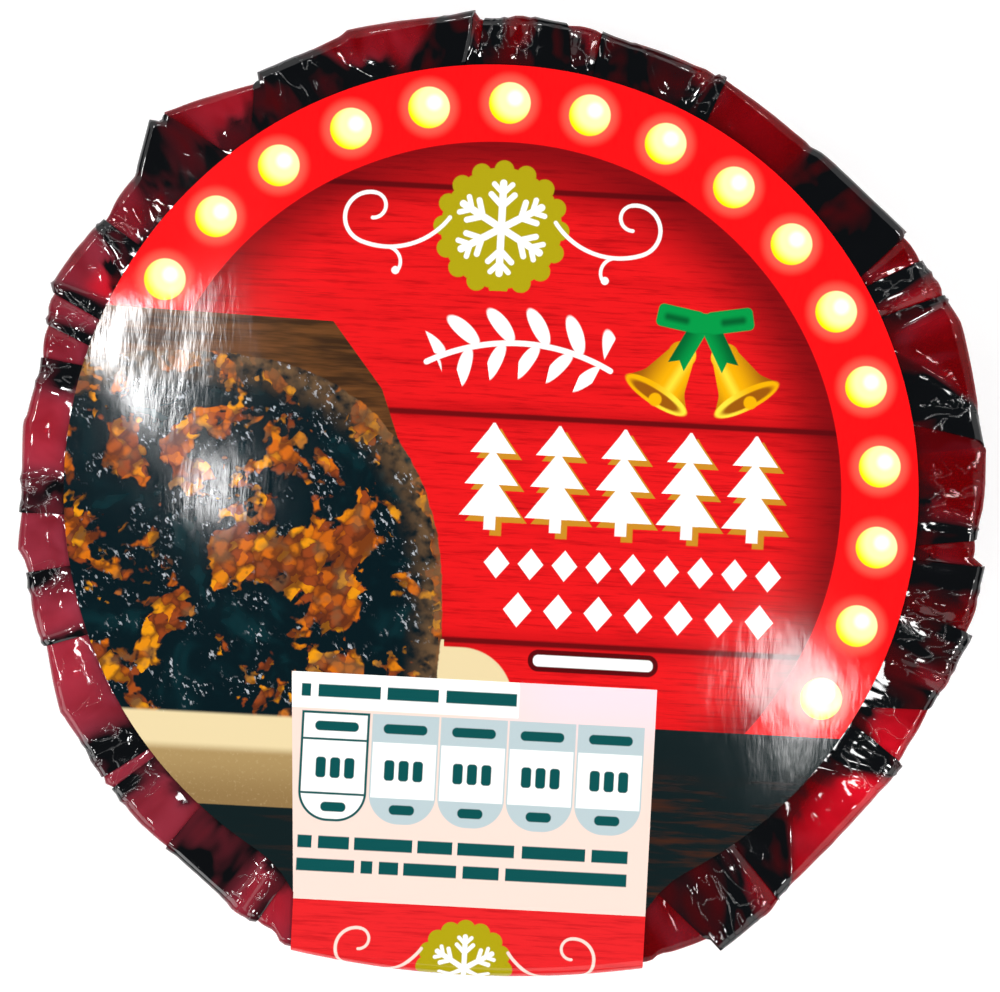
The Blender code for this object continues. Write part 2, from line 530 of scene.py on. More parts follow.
LIT = (  # where light comes through the film: middle and half width in degrees, how far in, how much
    (-35.0, 13.0, 0.38, 1.0), (-24.0, 4.0, 0.45, 0.6), (-48.0, 5.0, 0.2, 0.5), (27.0, 6.0, 0.4, 0.3),
    (57.0, 6.0, 0.35, 0.2), (105.0, 7.0, 0.3, 0.2), (127.0, 6.0, 0.3, 0.3), (155.0, 4.5, 0.85, 0.8),
    (175.0, 6.0, 0.4, 0.25), (205.0, 8.0, 0.4, 0.2), (245.0, 4.0, 0.5, 0.4))


# ---- Making pieces ----

def link(thing: bpy.types.Object) -> bpy.types.Object:
    """Put an object in the scene and return it."""
    bpy.context.scene.collection.objects.link(thing)
    return thing


def settle(thing: bpy.types.Object, angle: float = 40.0) -> bpy.types.Object:
    """Turn an object's evaluated shape into a plain mesh, with its modifiers gone.

    Args:
        thing: The object, with its modifiers live.
        angle: Edges sharper than this, in degrees, stay sharp.

    Returns:
        The same object.
    """
    evaluated = thing.evaluated_get(bpy.context.evaluated_depsgraph_get())
    mesh = bpy.data.meshes.new_from_object(evaluated)
    thing.modifiers.clear()
    old, thing.data = thing.data, mesh
    mesh.name = thing.name
    if old.users == 0:
        bpy.data.meshes.remove(old)
    while len(mesh.materials) > 1 and mesh.materials[0] is None:
        mesh.materials.pop(index=0)
    mesh.shade_smooth()
    mesh.set_sharp_from_angle(angle=math.radians(angle))
    return thing


def report(thing: bpy.types.Object, body: str, replaced: Iterable[str] = ()) -> None:
    """Tie a finished piece to its body, hide the CAD parts that it stands for, and log it.

    Args:
        thing: The finished piece.
        body: The body that it moves with.
        replaced: The CAD nodes that it stands for.
    """
    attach(thing, body)
    for node in replaced:
        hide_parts(node)
    log.info("%s: %d faces on %s", thing.name, len(thing.data.polygons), body)


class Geometry(Nodes):
    """A Geometry Nodes tree with named inputs."""

    def __init__(self, name: str, inputs: dict[str, float]) -> None:
        """Start a tree.

        Args:
            name: The tree's name.
            inputs: Each number input's starting value, by name.
        """
        super().__init__(bpy.data.node_groups.new(name, "GeometryNodeTree"))
        face = self.tree.interface
        face.new_socket("Geometry", in_out="INPUT", socket_type="NodeSocketGeometry")
        for label, value in inputs.items():
            face.new_socket(label, in_out="INPUT", socket_type="NodeSocketFloat").default_value = value
        face.new_socket("Geometry", in_out="OUTPUT", socket_type="NodeSocketGeometry")
        self.source = self.tree.nodes.new("NodeGroupInput")
        self.sink = self.tree.nodes.new("NodeGroupOutput")

    def named(self, label: str) -> Value:
        """Return one of the tree's number inputs."""
        return Value(self, self.source.outputs[label])

    def read(self, name: str, kind: str) -> bpy.types.NodeSocket:
        """Return a mesh attribute's values."""
        node = self.make("GeometryNodeInputNamedAttribute", {"data_type": kind}, {"Name": name})
        return next(out for out in node.outputs if out.enabled and out.name == "Attribute")

    def close(self, geometry: bpy.types.NodeSocket, material: bpy.types.Material) -> None:
        """End the tree: real geometry in one material.

        Args:
            geometry: The finished geometry.
            material: Its material.
        """
        real = self.make("GeometryNodeRealizeInstances", {}, {"Geometry": geometry})
        dressed = self.make("GeometryNodeSetMaterial", {}, {"Geometry": real.outputs["Geometry"],
                                                            "Material": material})
        self.tree.links.new(dressed.outputs["Geometry"], self.sink.inputs["Geometry"])

    def apply(self, thing: bpy.types.Object, values: dict[str, float]) -> None:
        """Put the tree on an object, with its inputs set by their identifiers.

        Args:
            thing: The object.
            values: The inputs' values, by name.
        """
        modifier = thing.modifiers.new(self.tree.name, "NODES")
        modifier.node_group = self.tree
        for item in self.tree.interface.items_tree:
            if item.item_type == "SOCKET" and item.in_out == "INPUT" and item.name in values:
                modifier[item.identifier] = values[item.name]


# ---- Finishes ----

@dataclass(frozen=True)
class FilmFinish:
    """Thin red film: clear and red in one layer, near black where it is folded double, with a painted sheen
    that makes it pale and pink on the left and painted shade towards the label.
    """

    tint: Colour = (0.70, 0.035, 0.075)
    body: Colour = ink(120, 4, 14)
    # painted sheen: the pale pink that the film takes on the left
    body_sheen: Colour = ink(178, 64, 84)
    bright: Colour = ink(226, 12, 36)
    # near black of the tucks, also laid as painted shade towards the label
    folded: Colour = ink(4, 6, 9)
    single: float = 0.34
    double: float = 0.95
    roughness: float = 0.02
    refraction: float = 1.6
    relief: float = 0.05 * MM

    def material(self) -> bpy.types.Material:
        """Return the film's material.

        Returns:
            The material.
        """
        g = Graph("red_film")
        place = Place(g, g.attribute("place").outputs["Vector"])
        cover, pale, lit, slack = (Value(g, g.attribute(name).outputs["Fac"])
                                   for name in ("cover", "pale", "lit", "slack"))
        patches = g.noise(place.scaled(1.0, 0.6), 3.4, 2.0, 0.5, 0.4)
        # pale is a painted sheen, most on the left: it turns the body pale pink and, in shut, more milky
        body = g.blend(self.body, self.body_sheen, (pale * 0.74 + 1.3 * (patches - 0.5)).most(0.0))
        body = body.under(self.bright, lit * (0.5 + patches))
        # cover darkens the tucks and gathers, and lays painted shade towards the label's edge
        dark = (cover + cover * (1.6 * (patches - 0.5))).most(0.0).least(1.0)
        colour = g.blend(body, self.folded, dark)
        shut = (self.single + dark * (self.double - self.single) + pale * 0.24 + lit * 0.5
                + 0.24 * (patches - 0.5))
        creases = abs(g.noise(place.scaled(1.0, 0.55), 1.7, 1.0, 0.5, 1.0) - 0.5).rise(0.035, 0.0)
        swell = g.noise(place.scaled(1.0, 0.35), 1.5, 1.0, 0.5, 0.5)
        relief = g.bump(0.6 * swell + 0.8 * creases * slack.rise(0.18, 0.65), 1.0, self.relief)
        skin = g.principled({"Base Color": colour, "Roughness": self.roughness + 0.05 * patches,
                             "IOR": self.refraction, "Normal": relief.outputs["Normal"]})
        clear = g.make("ShaderNodeBsdfTransparent", {}, {"Color": self.tint})
        blend = g.make("ShaderNodeMixShader", {}, {"Fac": shut, 1: clear.outputs[0], 2: skin.outputs[0]})
        return g.finish(blend.outputs[0])


@dataclass(frozen=True)
class BasinFinish:
    """Dark moulded plastic with a soft sheen."""

    colour: Colour = ink(58, 22, 20)
    deep: Colour = ink(30, 12, 12)
    roughness: float = 0.38
    relief: float = 0.05 * MM

    def material(self) -> bpy.types.Material:
        """Return the basin's material.

        Returns:
            The material.
        """
        g = Graph("dark_basin")
        place = g.object_place()
        mottle = g.noise(place, 3.0, 3.0)
        colour = g.blend(self.colour, self.deep, mottle)
        grain = g.noise(place, 0.4, 2.0)
        shader = g.principled({"Base Color": colour, "Roughness": self.roughness + 0.15 * mottle,
                               "Normal": g.bump(grain, 0.2, self.relief).outputs["Normal"]})
        return g.finish(shader.outputs[0])


@dataclass(frozen=True)
class FloorFinish:
    """Plain pale card."""

    colour: Colour = (0.94, 0.94, 0.94)
    glow: float = 0.26
    roughness: float = 0.8
    gloss: float = 0.1
    tooth: float = 0.985     # the card's darker blots, as a share of its colour

    def material(self) -> bpy.types.Material:
        """Return the floor's material.

        Returns:
            The material.
        """
        g = Graph("pale_floor")
        tooth = g.noise(g.object_place(), 40.0, 2.0)
        colour = g.blend(self.colour, tuple(self.tooth * level for level in self.colour), tooth)
        shader = g.principled({
            "Base Color": colour, "Roughness": self.roughness, "Specular IOR Level": self.gloss,
            "Emission Color": (1.0, 1.0, 1.0), "Emission Strength": self.glow})
        return g.finish(shader.outputs[0])


@dataclass(frozen=True)
class PrintColours:
    """The label's inks."""

    red: Colour = ink(252, 16, 20)
    red_deep: Colour = ink(238, 12, 18)
    paper: Colour = ink(240, 238, 232)
    paper_deep: Colour = ink(226, 224, 216)
    plank: Colour = ink(226, 22, 26)
    plank_deep: Colour = ink(176, 10, 16)
    seam: Colour = ink(86, 6, 10)
    shade: Colour = ink(80, 4, 10)
    tail: Colour = ink(226, 36, 40)
    tail_deep: Colour = ink(190, 24, 30)
    glow: Colour = ink(255, 92, 76)
    bulb: Colour = ink(255, 236, 0)
    bulb_pale: Colour = ink(255, 252, 178)
    white: Colour = ink(255, 255, 252)
    olive: Colour = ink(170, 156, 16)
    gold: Colour = ink(196, 134, 34)
    bell: Colour = ink(240, 172, 4)
    bell_dark: Colour = ink(150, 84, 10)
    bell_shine: Colour = ink(255, 222, 60)
    green: Colour = ink(2, 146, 66)
    green_dark: Colour = ink(0, 92, 42)
    cream: Colour = ink(241, 214, 202)
    pink: Colour = ink(250, 216, 224)
    blue: Colour = ink(182, 198, 202)
    teal: Colour = ink(10, 78, 78)
    wood: Colour = ink(104, 64, 32)
    wood_dark: Colour = ink(56, 36, 20)
    board: Colour = ink(166, 138, 90)
    board_deep: Colour = ink(140, 112, 70)
    board_light: Colour = ink(226, 206, 160)
    table: Colour = ink(14, 28, 30)
    table_brown: Colour = ink(64, 34, 22)
    pudding: Colour = ink(7, 41, 46)
    pudding_black: Colour = ink(3, 22, 28)
    crumb: Colour = ink(200, 100, 16)
    crumb_deep: Colour = ink(140, 62, 26)
    crumb_light: Colour = ink(226, 146, 16)
    crumb_dark: Colour = ink(74, 34, 20)
    rind: Colour = ink(112, 84, 56)
    gleam: Colour = ink(196, 200, 206)


class Zone(Enum):
    """A field of the label, with a material of its own."""

    RING = "print_ring"
    CREST = "print_crest"
    MIDDLE = "print_middle"
    PICTURE = "print_picture"
    GROUND = "print_ground"
    PANEL = "print_panel"
    TAIL = "print_tail"
    BACK = "paper_back"


@dataclass(frozen=True)
class Layout:
    """Where the fields of the label meet, in millimetres from the middle of the disc."""

    ring_inner: float = 30.4
    panel_left: float = -16.45
    panel_lean: float = 0.058
    panel_right: float = 15.3
    panel_top: float = -16.4
    tail_top: float = -36.1
    table_top: float = -19.8
    picture_side: float = -3.4
    picture_top: float = 13.8
    picture_slope: float = -0.02
    crest_low: float = 16.4
    bow_side: float = 11.0      # the bells' bow reaches higher beyond this
    bow_high: float = 17.4
    shoulder: tuple[float, float] = (-7.0, 4.0)

    def cuts(self) -> list[tuple[tuple[float, float], tuple[float, float]]]:
        """Return the straight cuts between the fields, each as a point and the way across.

        Returns:
            The cuts.
        """
        return [((0.0, self.tail_top), (0.0, 1.0)), ((0.0, self.panel_top), (0.0, 1.0)),
                ((self.panel_left, self.panel_top), (1.0, self.panel_lean)),
                ((self.panel_right, 0.0), (1.0, 0.0)),
                ((0.0, self.table_top), (0.0, 1.0)), ((self.picture_side, 0.0), (1.0, 0.0)),
                ((0.0, self.picture_top), (-self.picture_slope, 1.0))]

    def zone(self, points: list[tuple[float, float]]) -> Zone:
        """Return the field that holds a face, from its corners.

        Args:
            points: The face's corners.

        Returns:
            The field.
        """
        xs, ys = [x for x, _ in points], [y for _, y in points]
        x, y = sum(xs) / len(xs), sum(ys) / len(ys)
        if y < self.tail_top:
            return Zone.TAIL
        left = self.panel_left + self.panel_lean * (self.panel_top - y)
        if left < x < self.panel_right and y < self.panel_top:
            return Zone.PANEL
        if y < self.table_top and x > 0.0:
            return Zone.GROUND
        if y < self.picture_top + self.picture_slope * x and (
                x < self.picture_side if y < self.shoulder[1] else min(xs) < self.shoulder[0]):
            return Zone.PICTURE
        if max(math.hypot(*point) for point in points) > self.ring_inner - 0.15:
            return Zone.RING
        crest = self.bow_high if x > self.bow_side else self.crest_low
        return Zone.CREST if min(ys) > crest else Zone.MIDDLE


class LabelPrint:
    """The printed face of the label, drawn from fields of colour and simple shapes, in millimetres."""

    bulb_reach: float = 33.8
    bulb_step: float = 11.93
    bulb_middle: float = 60.4
    bulb_count: int = 16
    roughness: float = 0.048
    refraction: float = 1.45
    relief: float = 0.012 * MM

    def __init__(self, zone: Zone, inks: PrintColours, layout: Layout) -> None:
        """Start the material of one field.

        Args:
            zone: The field.
            inks: The label's inks.
            layout: Where the fields meet.
        """
        self.zone, self.inks, self.layout = zone, inks, layout
        self.g = Graph(zone.value)
        self.at = Place(self.g, self.g.attribute("sheet").outputs["Vector"])
        self.fibre = self.g.noise(self.at.scaled(1.0, 0.16), 0.22, 2.0, 0.6)
        pale, deep = (inks.paper, inks.paper_deep) if zone is Zone.BACK else (inks.red, inks.red_deep)
        self.colour: Tone = self.g.blend(pale, deep, self.fibre.rise(0.4, 0.8))

    def lay(self, paint: Paint, share: Operand) -> None:
        """Lay a colour over what is painted so far."""
        self.colour = self.colour.under(paint, share)

    def fill(self, paint: Paint, shape: Value, soft: float = 0.06) -> None:
        """Fill a shape with a colour."""
        self.lay(paint, shape.inside(0.0, soft))

    def grain(self) -> Value:
        """Return the long fine grain of painted wood."""
        return self.g.noise(self.at.scaled(0.06, 1.0), 0.34, 3.0, 0.7)

    def streak(self) -> Value:
        """Return the broader streaks of bare wood."""
        return self.g.noise(self.at.scaled(0.10, 1.0), 0.9, 3.0, 0.65)

    # shapes, as distances in millimetres

    def box(self, at: Place, half_x: float, half_y: float, corner: float = 0.0) -> Value:
        """Return the distance to a box about the origin, with rounded corners.

        Args:
            at: The point, seen from the shape's middle.
            half_x: Half its width.
            half_y: Half its height.
            corner: The corners' radius.

        Returns:
            The distance, below zero inside.
        """
        over_x = abs(at.x) - (half_x - corner)
        over_y = abs(at.y) - (half_y - corner)
        if corner == 0.0:
            return over_x.most(over_y)
        return self.g.place(over_x.most(0.0),
                            over_y.most(0.0)).reach() + over_x.most(over_y).least(0.0) - corner

    def arc(self, at: Place, radius: float, width: float, start: float, sweep: float) -> Value:
        """Return the distance to a round-ended arc about the origin.

        Args:
            at: The point.
            radius: The arc's radius.
            width: Half the line's width.
            start: Where the arc starts, in degrees.
            sweep: How far it goes round, anticlockwise.

        Returns:
            The distance, below zero inside.
        """
        turned = at.turned(start + sweep / 2.0)
        half = math.radians(sweep / 2.0)
        folded = self.g.place(turned.x, abs(turned.y))
        ring = abs(folded.reach() - radius)
        tip = folded.shift(radius * math.cos(half), radius * math.sin(half)).reach()
        beyond = (folded.x * math.sin(half) - folded.y * math.cos(half)).rise(0.001, -0.001)
        return ring * (1.0 - beyond) + tip * beyond - width

    def line(self, at: Place, start: tuple[float, float], end: tuple[float, float], width: float) -> Value:
        """Return the distance to a round-ended line between two points.

        Args:
            at: The point.
            start: Where the line starts.
            end: Where it ends.
            width: Half its width.

        Returns:
            The distance, below zero inside.
        """
        along = math.hypot(end[0] - start[0], end[1] - start[1])
        turned = at.shift(*start).turned(math.degrees(math.atan2(end[1] - start[1], end[0] - start[0])))
        past = turned.x.most(0.0).least(along)
        return self.g.place(turned.x - past, turned.y).reach() - width

    def diamond(self, at: Place, half_x: float, half_y: float) -> Value:
        """Return the distance to a diamond about the origin."""
        return abs(at.x) * (half_y / half_x) + abs(at.y) - half_y

    def oval(self, at: Place, half_x: float, half_y: float) -> Value:
        """Return about the distance to an oval about the origin."""
        return (at.scaled(1.0 / half_x, 1.0 / half_y).reach() - 1.0) * min(half_x, half_y)

    # fields

    def planks(self) -> None:
        """Lay the painted boards inside the ring."""
        g, at, inks = self.g, self.at, self.inks
        grain = self.grain()
        knots = g.noise(at.scaled(0.10, 1.0), 1.6, 3.0, 0.6, 0.4)
        wood = g.blend(inks.plank, inks.plank_deep,
                       (grain.rise(0.46, 0.70) * 0.75 + knots.rise(0.45, 0.8) * 0.45).least(1.0))
        cell = (at.y - 6.5) % 19.6
        seam = (cell - 0.25).least(19.6 - cell)
        wood = wood.under(inks.plank_deep, seam.rise(1.6, 0.0) * 0.55)
        wood = wood.under(inks.seam, seam.inside(0.12, 0.12) * 0.9)
        inner = self.layout.ring_inner
        shade = at.shift(-0.9, -1.2).reach().rise(inner - 5.2, inner + 1.2)
        wood = wood.under(inks.shade, shade * 0.78)
        self.lay(wood, at.reach().inside(inner, 0.06))

    def bulbs(self) -> None:
        """Set the round yellow lights along the ring."""
        g, inks = self.g, self.inks
        turned = self.at.turned(self.bulb_middle)
        step = math.radians(self.bulb_step)
        angle = turned.bearing()
        shown = abs(angle).inside(step * self.bulb_count / 2.0, 0.002)
        bulb = angle - angle % step + step / 2.0
        centre = g.place(g.sum("COSINE", bulb), g.sum("SINE", bulb)).scaled(self.bulb_reach, self.bulb_reach)
        local = g.vector("SUBTRACT", turned, centre)
        off = local.reach()
        lit = math.radians(45.0 - self.bulb_middle)
        shine = local.shift(0.62 * math.cos(lit), 0.62 * math.sin(lit)).reach()
        self.lay(inks.glow, off.rise(2.95, 1.9) * 0.9 * shown)
        face = g.blend(inks.bulb_pale, inks.bulb, shine.rise(1.2, 2.3))
        face = face.under(inks.white, shine.rise(0.95, 0.30))
        self.lay(face, off.inside(1.80, 0.07) * shown)

    def ground(self) -> None:
        """Lay the dark table."""
        g, at, inks = self.g, self.at, self.inks
        streak = self.streak()
        table = g.blend(inks.table, inks.table_brown,
                        streak.rise(0.45, 0.7) * (-at.y).rise(22.0, 27.0))
        self.lay(table, at.y.inside(self.layout.table_top, 0.04))

    def backdrop(self) -> None:
        """Lay the wooden band, the table and the cream board of the picture."""
        g, at, inks = self.g, self.at, self.inks
        streak = self.streak()
        wood = g.blend(inks.wood, inks.wood_dark, streak.rise(0.35, 0.65))
        band = (at.x + 0.8 * (at.y - 13.8)).inside(-14.2, 0.06)
        band = band * (at.x + 0.38 * (at.y - 9.2)).inside(-10.2, 0.06)
        self.lay(wood, band * (-at.y).inside(1.0, 0.1))
        table = g.blend(inks.table, inks.table_brown, streak.rise(0.5, 0.75) * 0.35)
        self.lay(table, at.y.inside(-19.8, 0.06))
        board = g.blend(inks.board_deep, inks.board, at.y.rise(-28.0, -23.8))
        board = board.under(inks.board_light, at.y.rise(-23.9, -22.9))
        grit = g.noise(at, 0.3, 2.0)
        board = board.under(inks.board_light, grit.rise(0.55, 0.8) * 0.16)
        slab = self.box(at.shift(-20.0, -20.4), 23.4, 7.9, 2.4)
        self.lay(board, slab.inside(0.0, 0.06) * at.y.inside(-13.0, 0.06))

    def pudding(self) -> None:
        """Draw the dark pudding: a plain dome of glossy fruit with crumbs between."""
        g, at, inks = self.g, self.at, self.inks
        body = at.shift(-26.0, -12.0)
        ragged = g.noise(at, 1.1, 2.0)
        dome = g.sum("POWER", abs(body.x) / 22.4, 2.4) + g.sum("POWER", abs(body.y) / 23.0, 2.4) - 1.0
        shape = (dome + 0.05 * (ragged - 0.5)).inside(-0.01, 0.008) * (-at.y).inside(20.4, 0.2)
        drift = g.noise(at.shift(4.0, 9.0), 6.2, 3.0, 0.62, 0.6)
        flesh = g.blend(inks.pudding, inks.pudding_black, drift.rise(0.30, 0.46))
        warped = at.plus(g.place(ragged * 1.6, ragged * 1.6))
        spread = g.cells(warped, 1.05)
        lot = Value(g, g.make("ShaderNodeSeparateColor", {}, {0: g.cells(warped, 1.05, "Color")}).outputs[0])
        crumbs = g.blend(inks.crumb_deep, inks.crumb, lot.rise(0.30, 0.60)).under(inks.crumb_light,
                                                                                  lot.rise(0.72, 0.9))
        crumbs = crumbs.under(inks.crumb_dark, Value(g, spread).rise(0.34, 0.72) * 0.8)
        crumbs = crumbs.under(inks.rind, g.noise(at, 2.4, 2.0).rise(0.52, 0.68) * 0.55)
        cluster = drift + 0.16 * (ragged - 0.5) + 0.05 * (lot - 0.5)
        flesh = flesh.under(crumbs, cluster.rise(0.520, 0.556))
        flesh = flesh.under(inks.rind, dome.rise(-0.34, -0.04) * ragged.rise(0.25, 0.65) * 0.85)
        gleam = g.noise(at.turned(35.0).scaled(1.0, 0.55), 0.36, 2.0, 0.65).rise(0.56, 0.66)
        glossy = g.noise(at.shift(31.0, 7.0), 2.6, 1.0).rise(0.50, 0.64)
        flesh = flesh.under(inks.gleam, gleam * glossy * cluster.rise(0.57, 0.50) * 0.8)
        self.lay(flesh, shape)

    def facts(self) -> None:
        """Draw the cream panel with its plain columns."""
        g, at, inks = self.g, self.at, self.inks
        self.colour = g.blend(inks.cream, inks.pink, at.y.rise(-24.0, -17.0) * at.x.rise(-4.0, 8.0))
        tab = self.box(at.shift(-6.5, -18.6), 9.9, 3.6, 2.0)
        self.lay(inks.white, tab.inside(0.0, 0.06) * (at.y + 19.5).rise(-0.06, 0.06))
        for left, height, bars in ((-15.5, -17.95, (0.8, 0.6, 5.4, 0.6, 4.5, 0.6, 6.2)),
                                   (-15.2, -31.1, (1.2, 0.5, 2.7, 0.5, 5.0, 0.5, 3.0, 0.5, 4.9, 0.6, 5.6,
                                                   0.5, 3.2)),
                                   (-15.2, -33.1, (5.0, 0.5, 1.1, 0.5, 1.7, 0.5, 4.6, 0.5, 3.2, 0.5, 10.6))):
            self.lay(inks.teal, self.bars(at.shift(left, height), 0.55, bars))
        self.columns()

    def bars(self, at: Place, thick: float, lengths: Sequence[float]) -> Value:
        """Return a line of plain bars.

        Args:
            at: The point, seen from the line's left end.
            thick: Half the bars' thickness.
            lengths: The lengths of the bars and of the gaps between them, by turns.

        Returns:
            1 on a bar and 0 off it.
        """
        whole, along, stops = sum(lengths), 0.0, []
        for i, length in enumerate(lengths):
            stops.append((along / whole, (float(i % 2 == 0),) * 3))
            along += length
        ramp = self.g.make("ShaderNodeValToRGB", {"stops": stops}, {0: at.x / whole})
        ramp.color_ramp.interpolation = "CONSTANT"
        ends = abs(at.x - whole / 2.0).inside(whole / 2.0, 0.05)
        return Value(self.g, ramp.outputs["Color"]) * abs(at.y).inside(thick, 0.06) * ends

    def columns(self) -> None:
        """Draw five plain columns: one outlined, four pale blue with white boxes, all with round feet."""
        g, at, inks = self.g, self.at, self.inks
        pitch, first = 5.95, -9.3
        cell = (at.x - first) % pitch - pitch / 2.0
        column = g.place(cell, at.y + 24.5)
        shape = self.box(column, pitch / 2.0 - 0.08, 4.75, 2.6).least(
            self.box(g.place(cell, at.y + 22.0), pitch / 2.0 - 0.08, 2.25))
        reach = ((at.x - first) * -1.0).inside(0.0, 0.04) * (at.x - (first + 4.0 * pitch)).inside(0.0, 0.04)
        self.lay(inks.blue, shape.inside(0.0, 0.05) * reach)
        window = self.box(g.place(cell, at.y + 24.6), pitch / 2.0 - 0.22, 2.4)
        self.lay(inks.white, window.inside(0.0, 0.05) * reach)
        lone = at.shift(-12.4, -24.5)
        outline = self.box(lone, 2.95, 4.75, 2.6).least(self.box(at.shift(-12.4, -22.0), 2.95, 2.25))
        self.fill(inks.white, outline, 0.05)
        frame_line = (abs(outline + 0.1) - 0.11).least(
            (abs(abs(lone.y) - 2.35) - 0.1).most(abs(lone.x) - 2.9))
        self.fill(inks.teal, frame_line, 0.05)
        cell_all = (at.x - first + pitch) % pitch - pitch / 2.0
        marks = self.box(g.place(cell_all, at.y + 21.0), 1.9, 0.42, 0.4)
        block = (cell_all + 0.62) % 1.24 - 0.62
        dots = self.box(g.place(block, at.y + 24.6), 0.44, 0.9, 0.3).most(abs(cell_all) - 1.86)
        feet = self.box(g.place(cell_all, at.y + 28.0), 1.1, 0.42, 0.4)
        span = abs(at.x + 0.4).inside(14.8, 0.04)
        self.lay(inks.teal, marks.least(dots).least(feet).inside(0.0, 0.05) * span)

    def tail(self) -> None:
        """Lay the red field of the tail, with a small round ornament and its scrolls."""
        g, at, inks = self.g, self.at, self.inks
        grain = self.grain()
        self.lay(g.blend(inks.tail, inks.tail_deep, grain.rise(0.45, 0.75)), 1.0)
        self.badge(at.shift(-0.2, -41.4), 3.9)
        self.scrolls(at.shift(-0.2, -41.2), 0.82, inks.cream)

    def badge(self, at: Place, size: float) -> None:
        """Draw an olive disc with a notched edge and a white snowflake.

        Args:
            at: The point, seen from the shape's middle.
            size: The disc's radius.
        """
        inks = self.inks
        wave = at.folded(16)
        edge = wave.shift(size - 0.55, 0.0).reach() - 0.85
        disc = (at.reach() - size + 0.35).least(edge)
        self.fill(inks.olive, disc)
        arm = at.folded(6, 30.0)
        side = self.g.place(arm.x, abs(arm.y))
        stem = self.line(side, (0.0, 0.0), (size * 0.70, 0.0), size * 0.055)
        twig = self.line(side, (size * 0.34, 0.0), (size * 0.52, size * 0.18), size * 0.045)
        tip = self.line(side, (size * 0.54, 0.0), (size * 0.68, size * 0.14), size * 0.04)
        self.fill(inks.white, stem.least(twig).least(tip))

    def scrolls(self, at: Place, size: float, paint: Colour) -> None:
        """Draw a pair of thin scrolls on both sides of a middle.

        Args:
            at: The point, seen from the shape's middle.
            size: How large they are, as a share.
            paint: Their colour.
        """
        half = at.mirrored().scaled(1.0 / size, 1.0 / size)
        long_arc = self.arc(half.shift(10.0, 5.4), 6.6, 0.17, 215.0, 75.0)
        back_arc = self.arc(half.shift(11.5, 1.27), 2.2, 0.17, -70.0, 170.0)
        curl = self.arc(half.shift(11.3, 2.35), 1.1, 0.15, 100.0, 170.0)
        inner = self.arc(half.shift(10.0, -2.5), 1.3, 0.14, 90.0, 130.0)
        dot = half.shift(9.1, -3.2).reach() - 0.34
        shape = long_arc.least(back_arc).least(curl).least(inner).least(dot)
        self.fill(paint, shape)

    def garland(self, at: Place) -> None:
        """Draw a white spray of leaves, as wide as a short word.

        Args:
            at: The point, seen from the shape's middle.
        """
        g = self.g
        stem = self.arc(at.shift(0.0, -16.0), 17.0, 0.24, 62.0, 56.0)
        spoke = at.shift(0.0, -16.0)
        angle = (spoke.bearing() - math.pi / 2.0) * 17.0
        cell = angle % 3.0 - 1.5
        leaf_at = g.place(cell, spoke.reach() - 17.0)
        shown = abs(angle).inside(7.4, 0.05)
        upper = self.oval(leaf_at.shift(0.0, 1.55).turned(58.0), 1.75, 0.62)
        lower = self.oval(leaf_at.shift(0.75, -1.55).turned(-58.0), 1.75, 0.62)
        leaves = upper.least(lower).inside(0.0, 0.06) * shown
        self.lay(self.inks.white, stem.inside(0.0, 0.06).most(leaves))

    def trees(self, at: Place) -> None:
        """Draw a row of five white fir trees with gold shadows.

        Args:
            at: The point, seen from the shape's middle.
        """
        inks = self.inks
        self.fill(inks.gold, self.tree_row(at.shift(0.55, -0.5)))
        self.fill(inks.white, self.tree_row(at))

    def tree_row(self, at: Place) -> Value:
        """Return the distance to five fir trees in a row about the origin.

        Args:
            at: The point, seen from the shape's middle.

        Returns:
            The distance, below zero inside.
        """
        g = self.g
        pitch = 5.7
        cell = (at.x + pitch / 2.0) % pitch - pitch / 2.0
        height = at.y + 4.4
        tier = (height - 1.1) % 2.75
        spread = (2.75 - tier) * 0.62 + (8.6 - height).most(0.0) * 0.13
        crown = (abs(cell) - spread * 1.0).most(1.1 - height).most(height - 9.2)
        trunk = self.box(g.place(cell, height - 0.55), 0.5, 0.62)
        return crown.least(trunk).most(abs(at.x) - 2.5 * pitch + 0.1)

    def beads(self, at: Place, count: int, pitch: float, size: float) -> None:
        """Draw a row of white diamonds.

        Args:
            at: The point, seen from the shape's middle.
            count: How many there are.
            pitch: From one to the next.
            size: Half a diamond's height.
        """
        shift = 0.0 if count % 2 == 0 else pitch / 2.0
        cell = (at.x + shift) % pitch - pitch / 2.0
        shape = self.diamond(self.g.place(cell, at.y), size * 0.82, size)
        self.lay(self.inks.white, shape.inside(0.0, 0.07) * abs(at.x).inside(count * pitch / 2.0, 0.05))

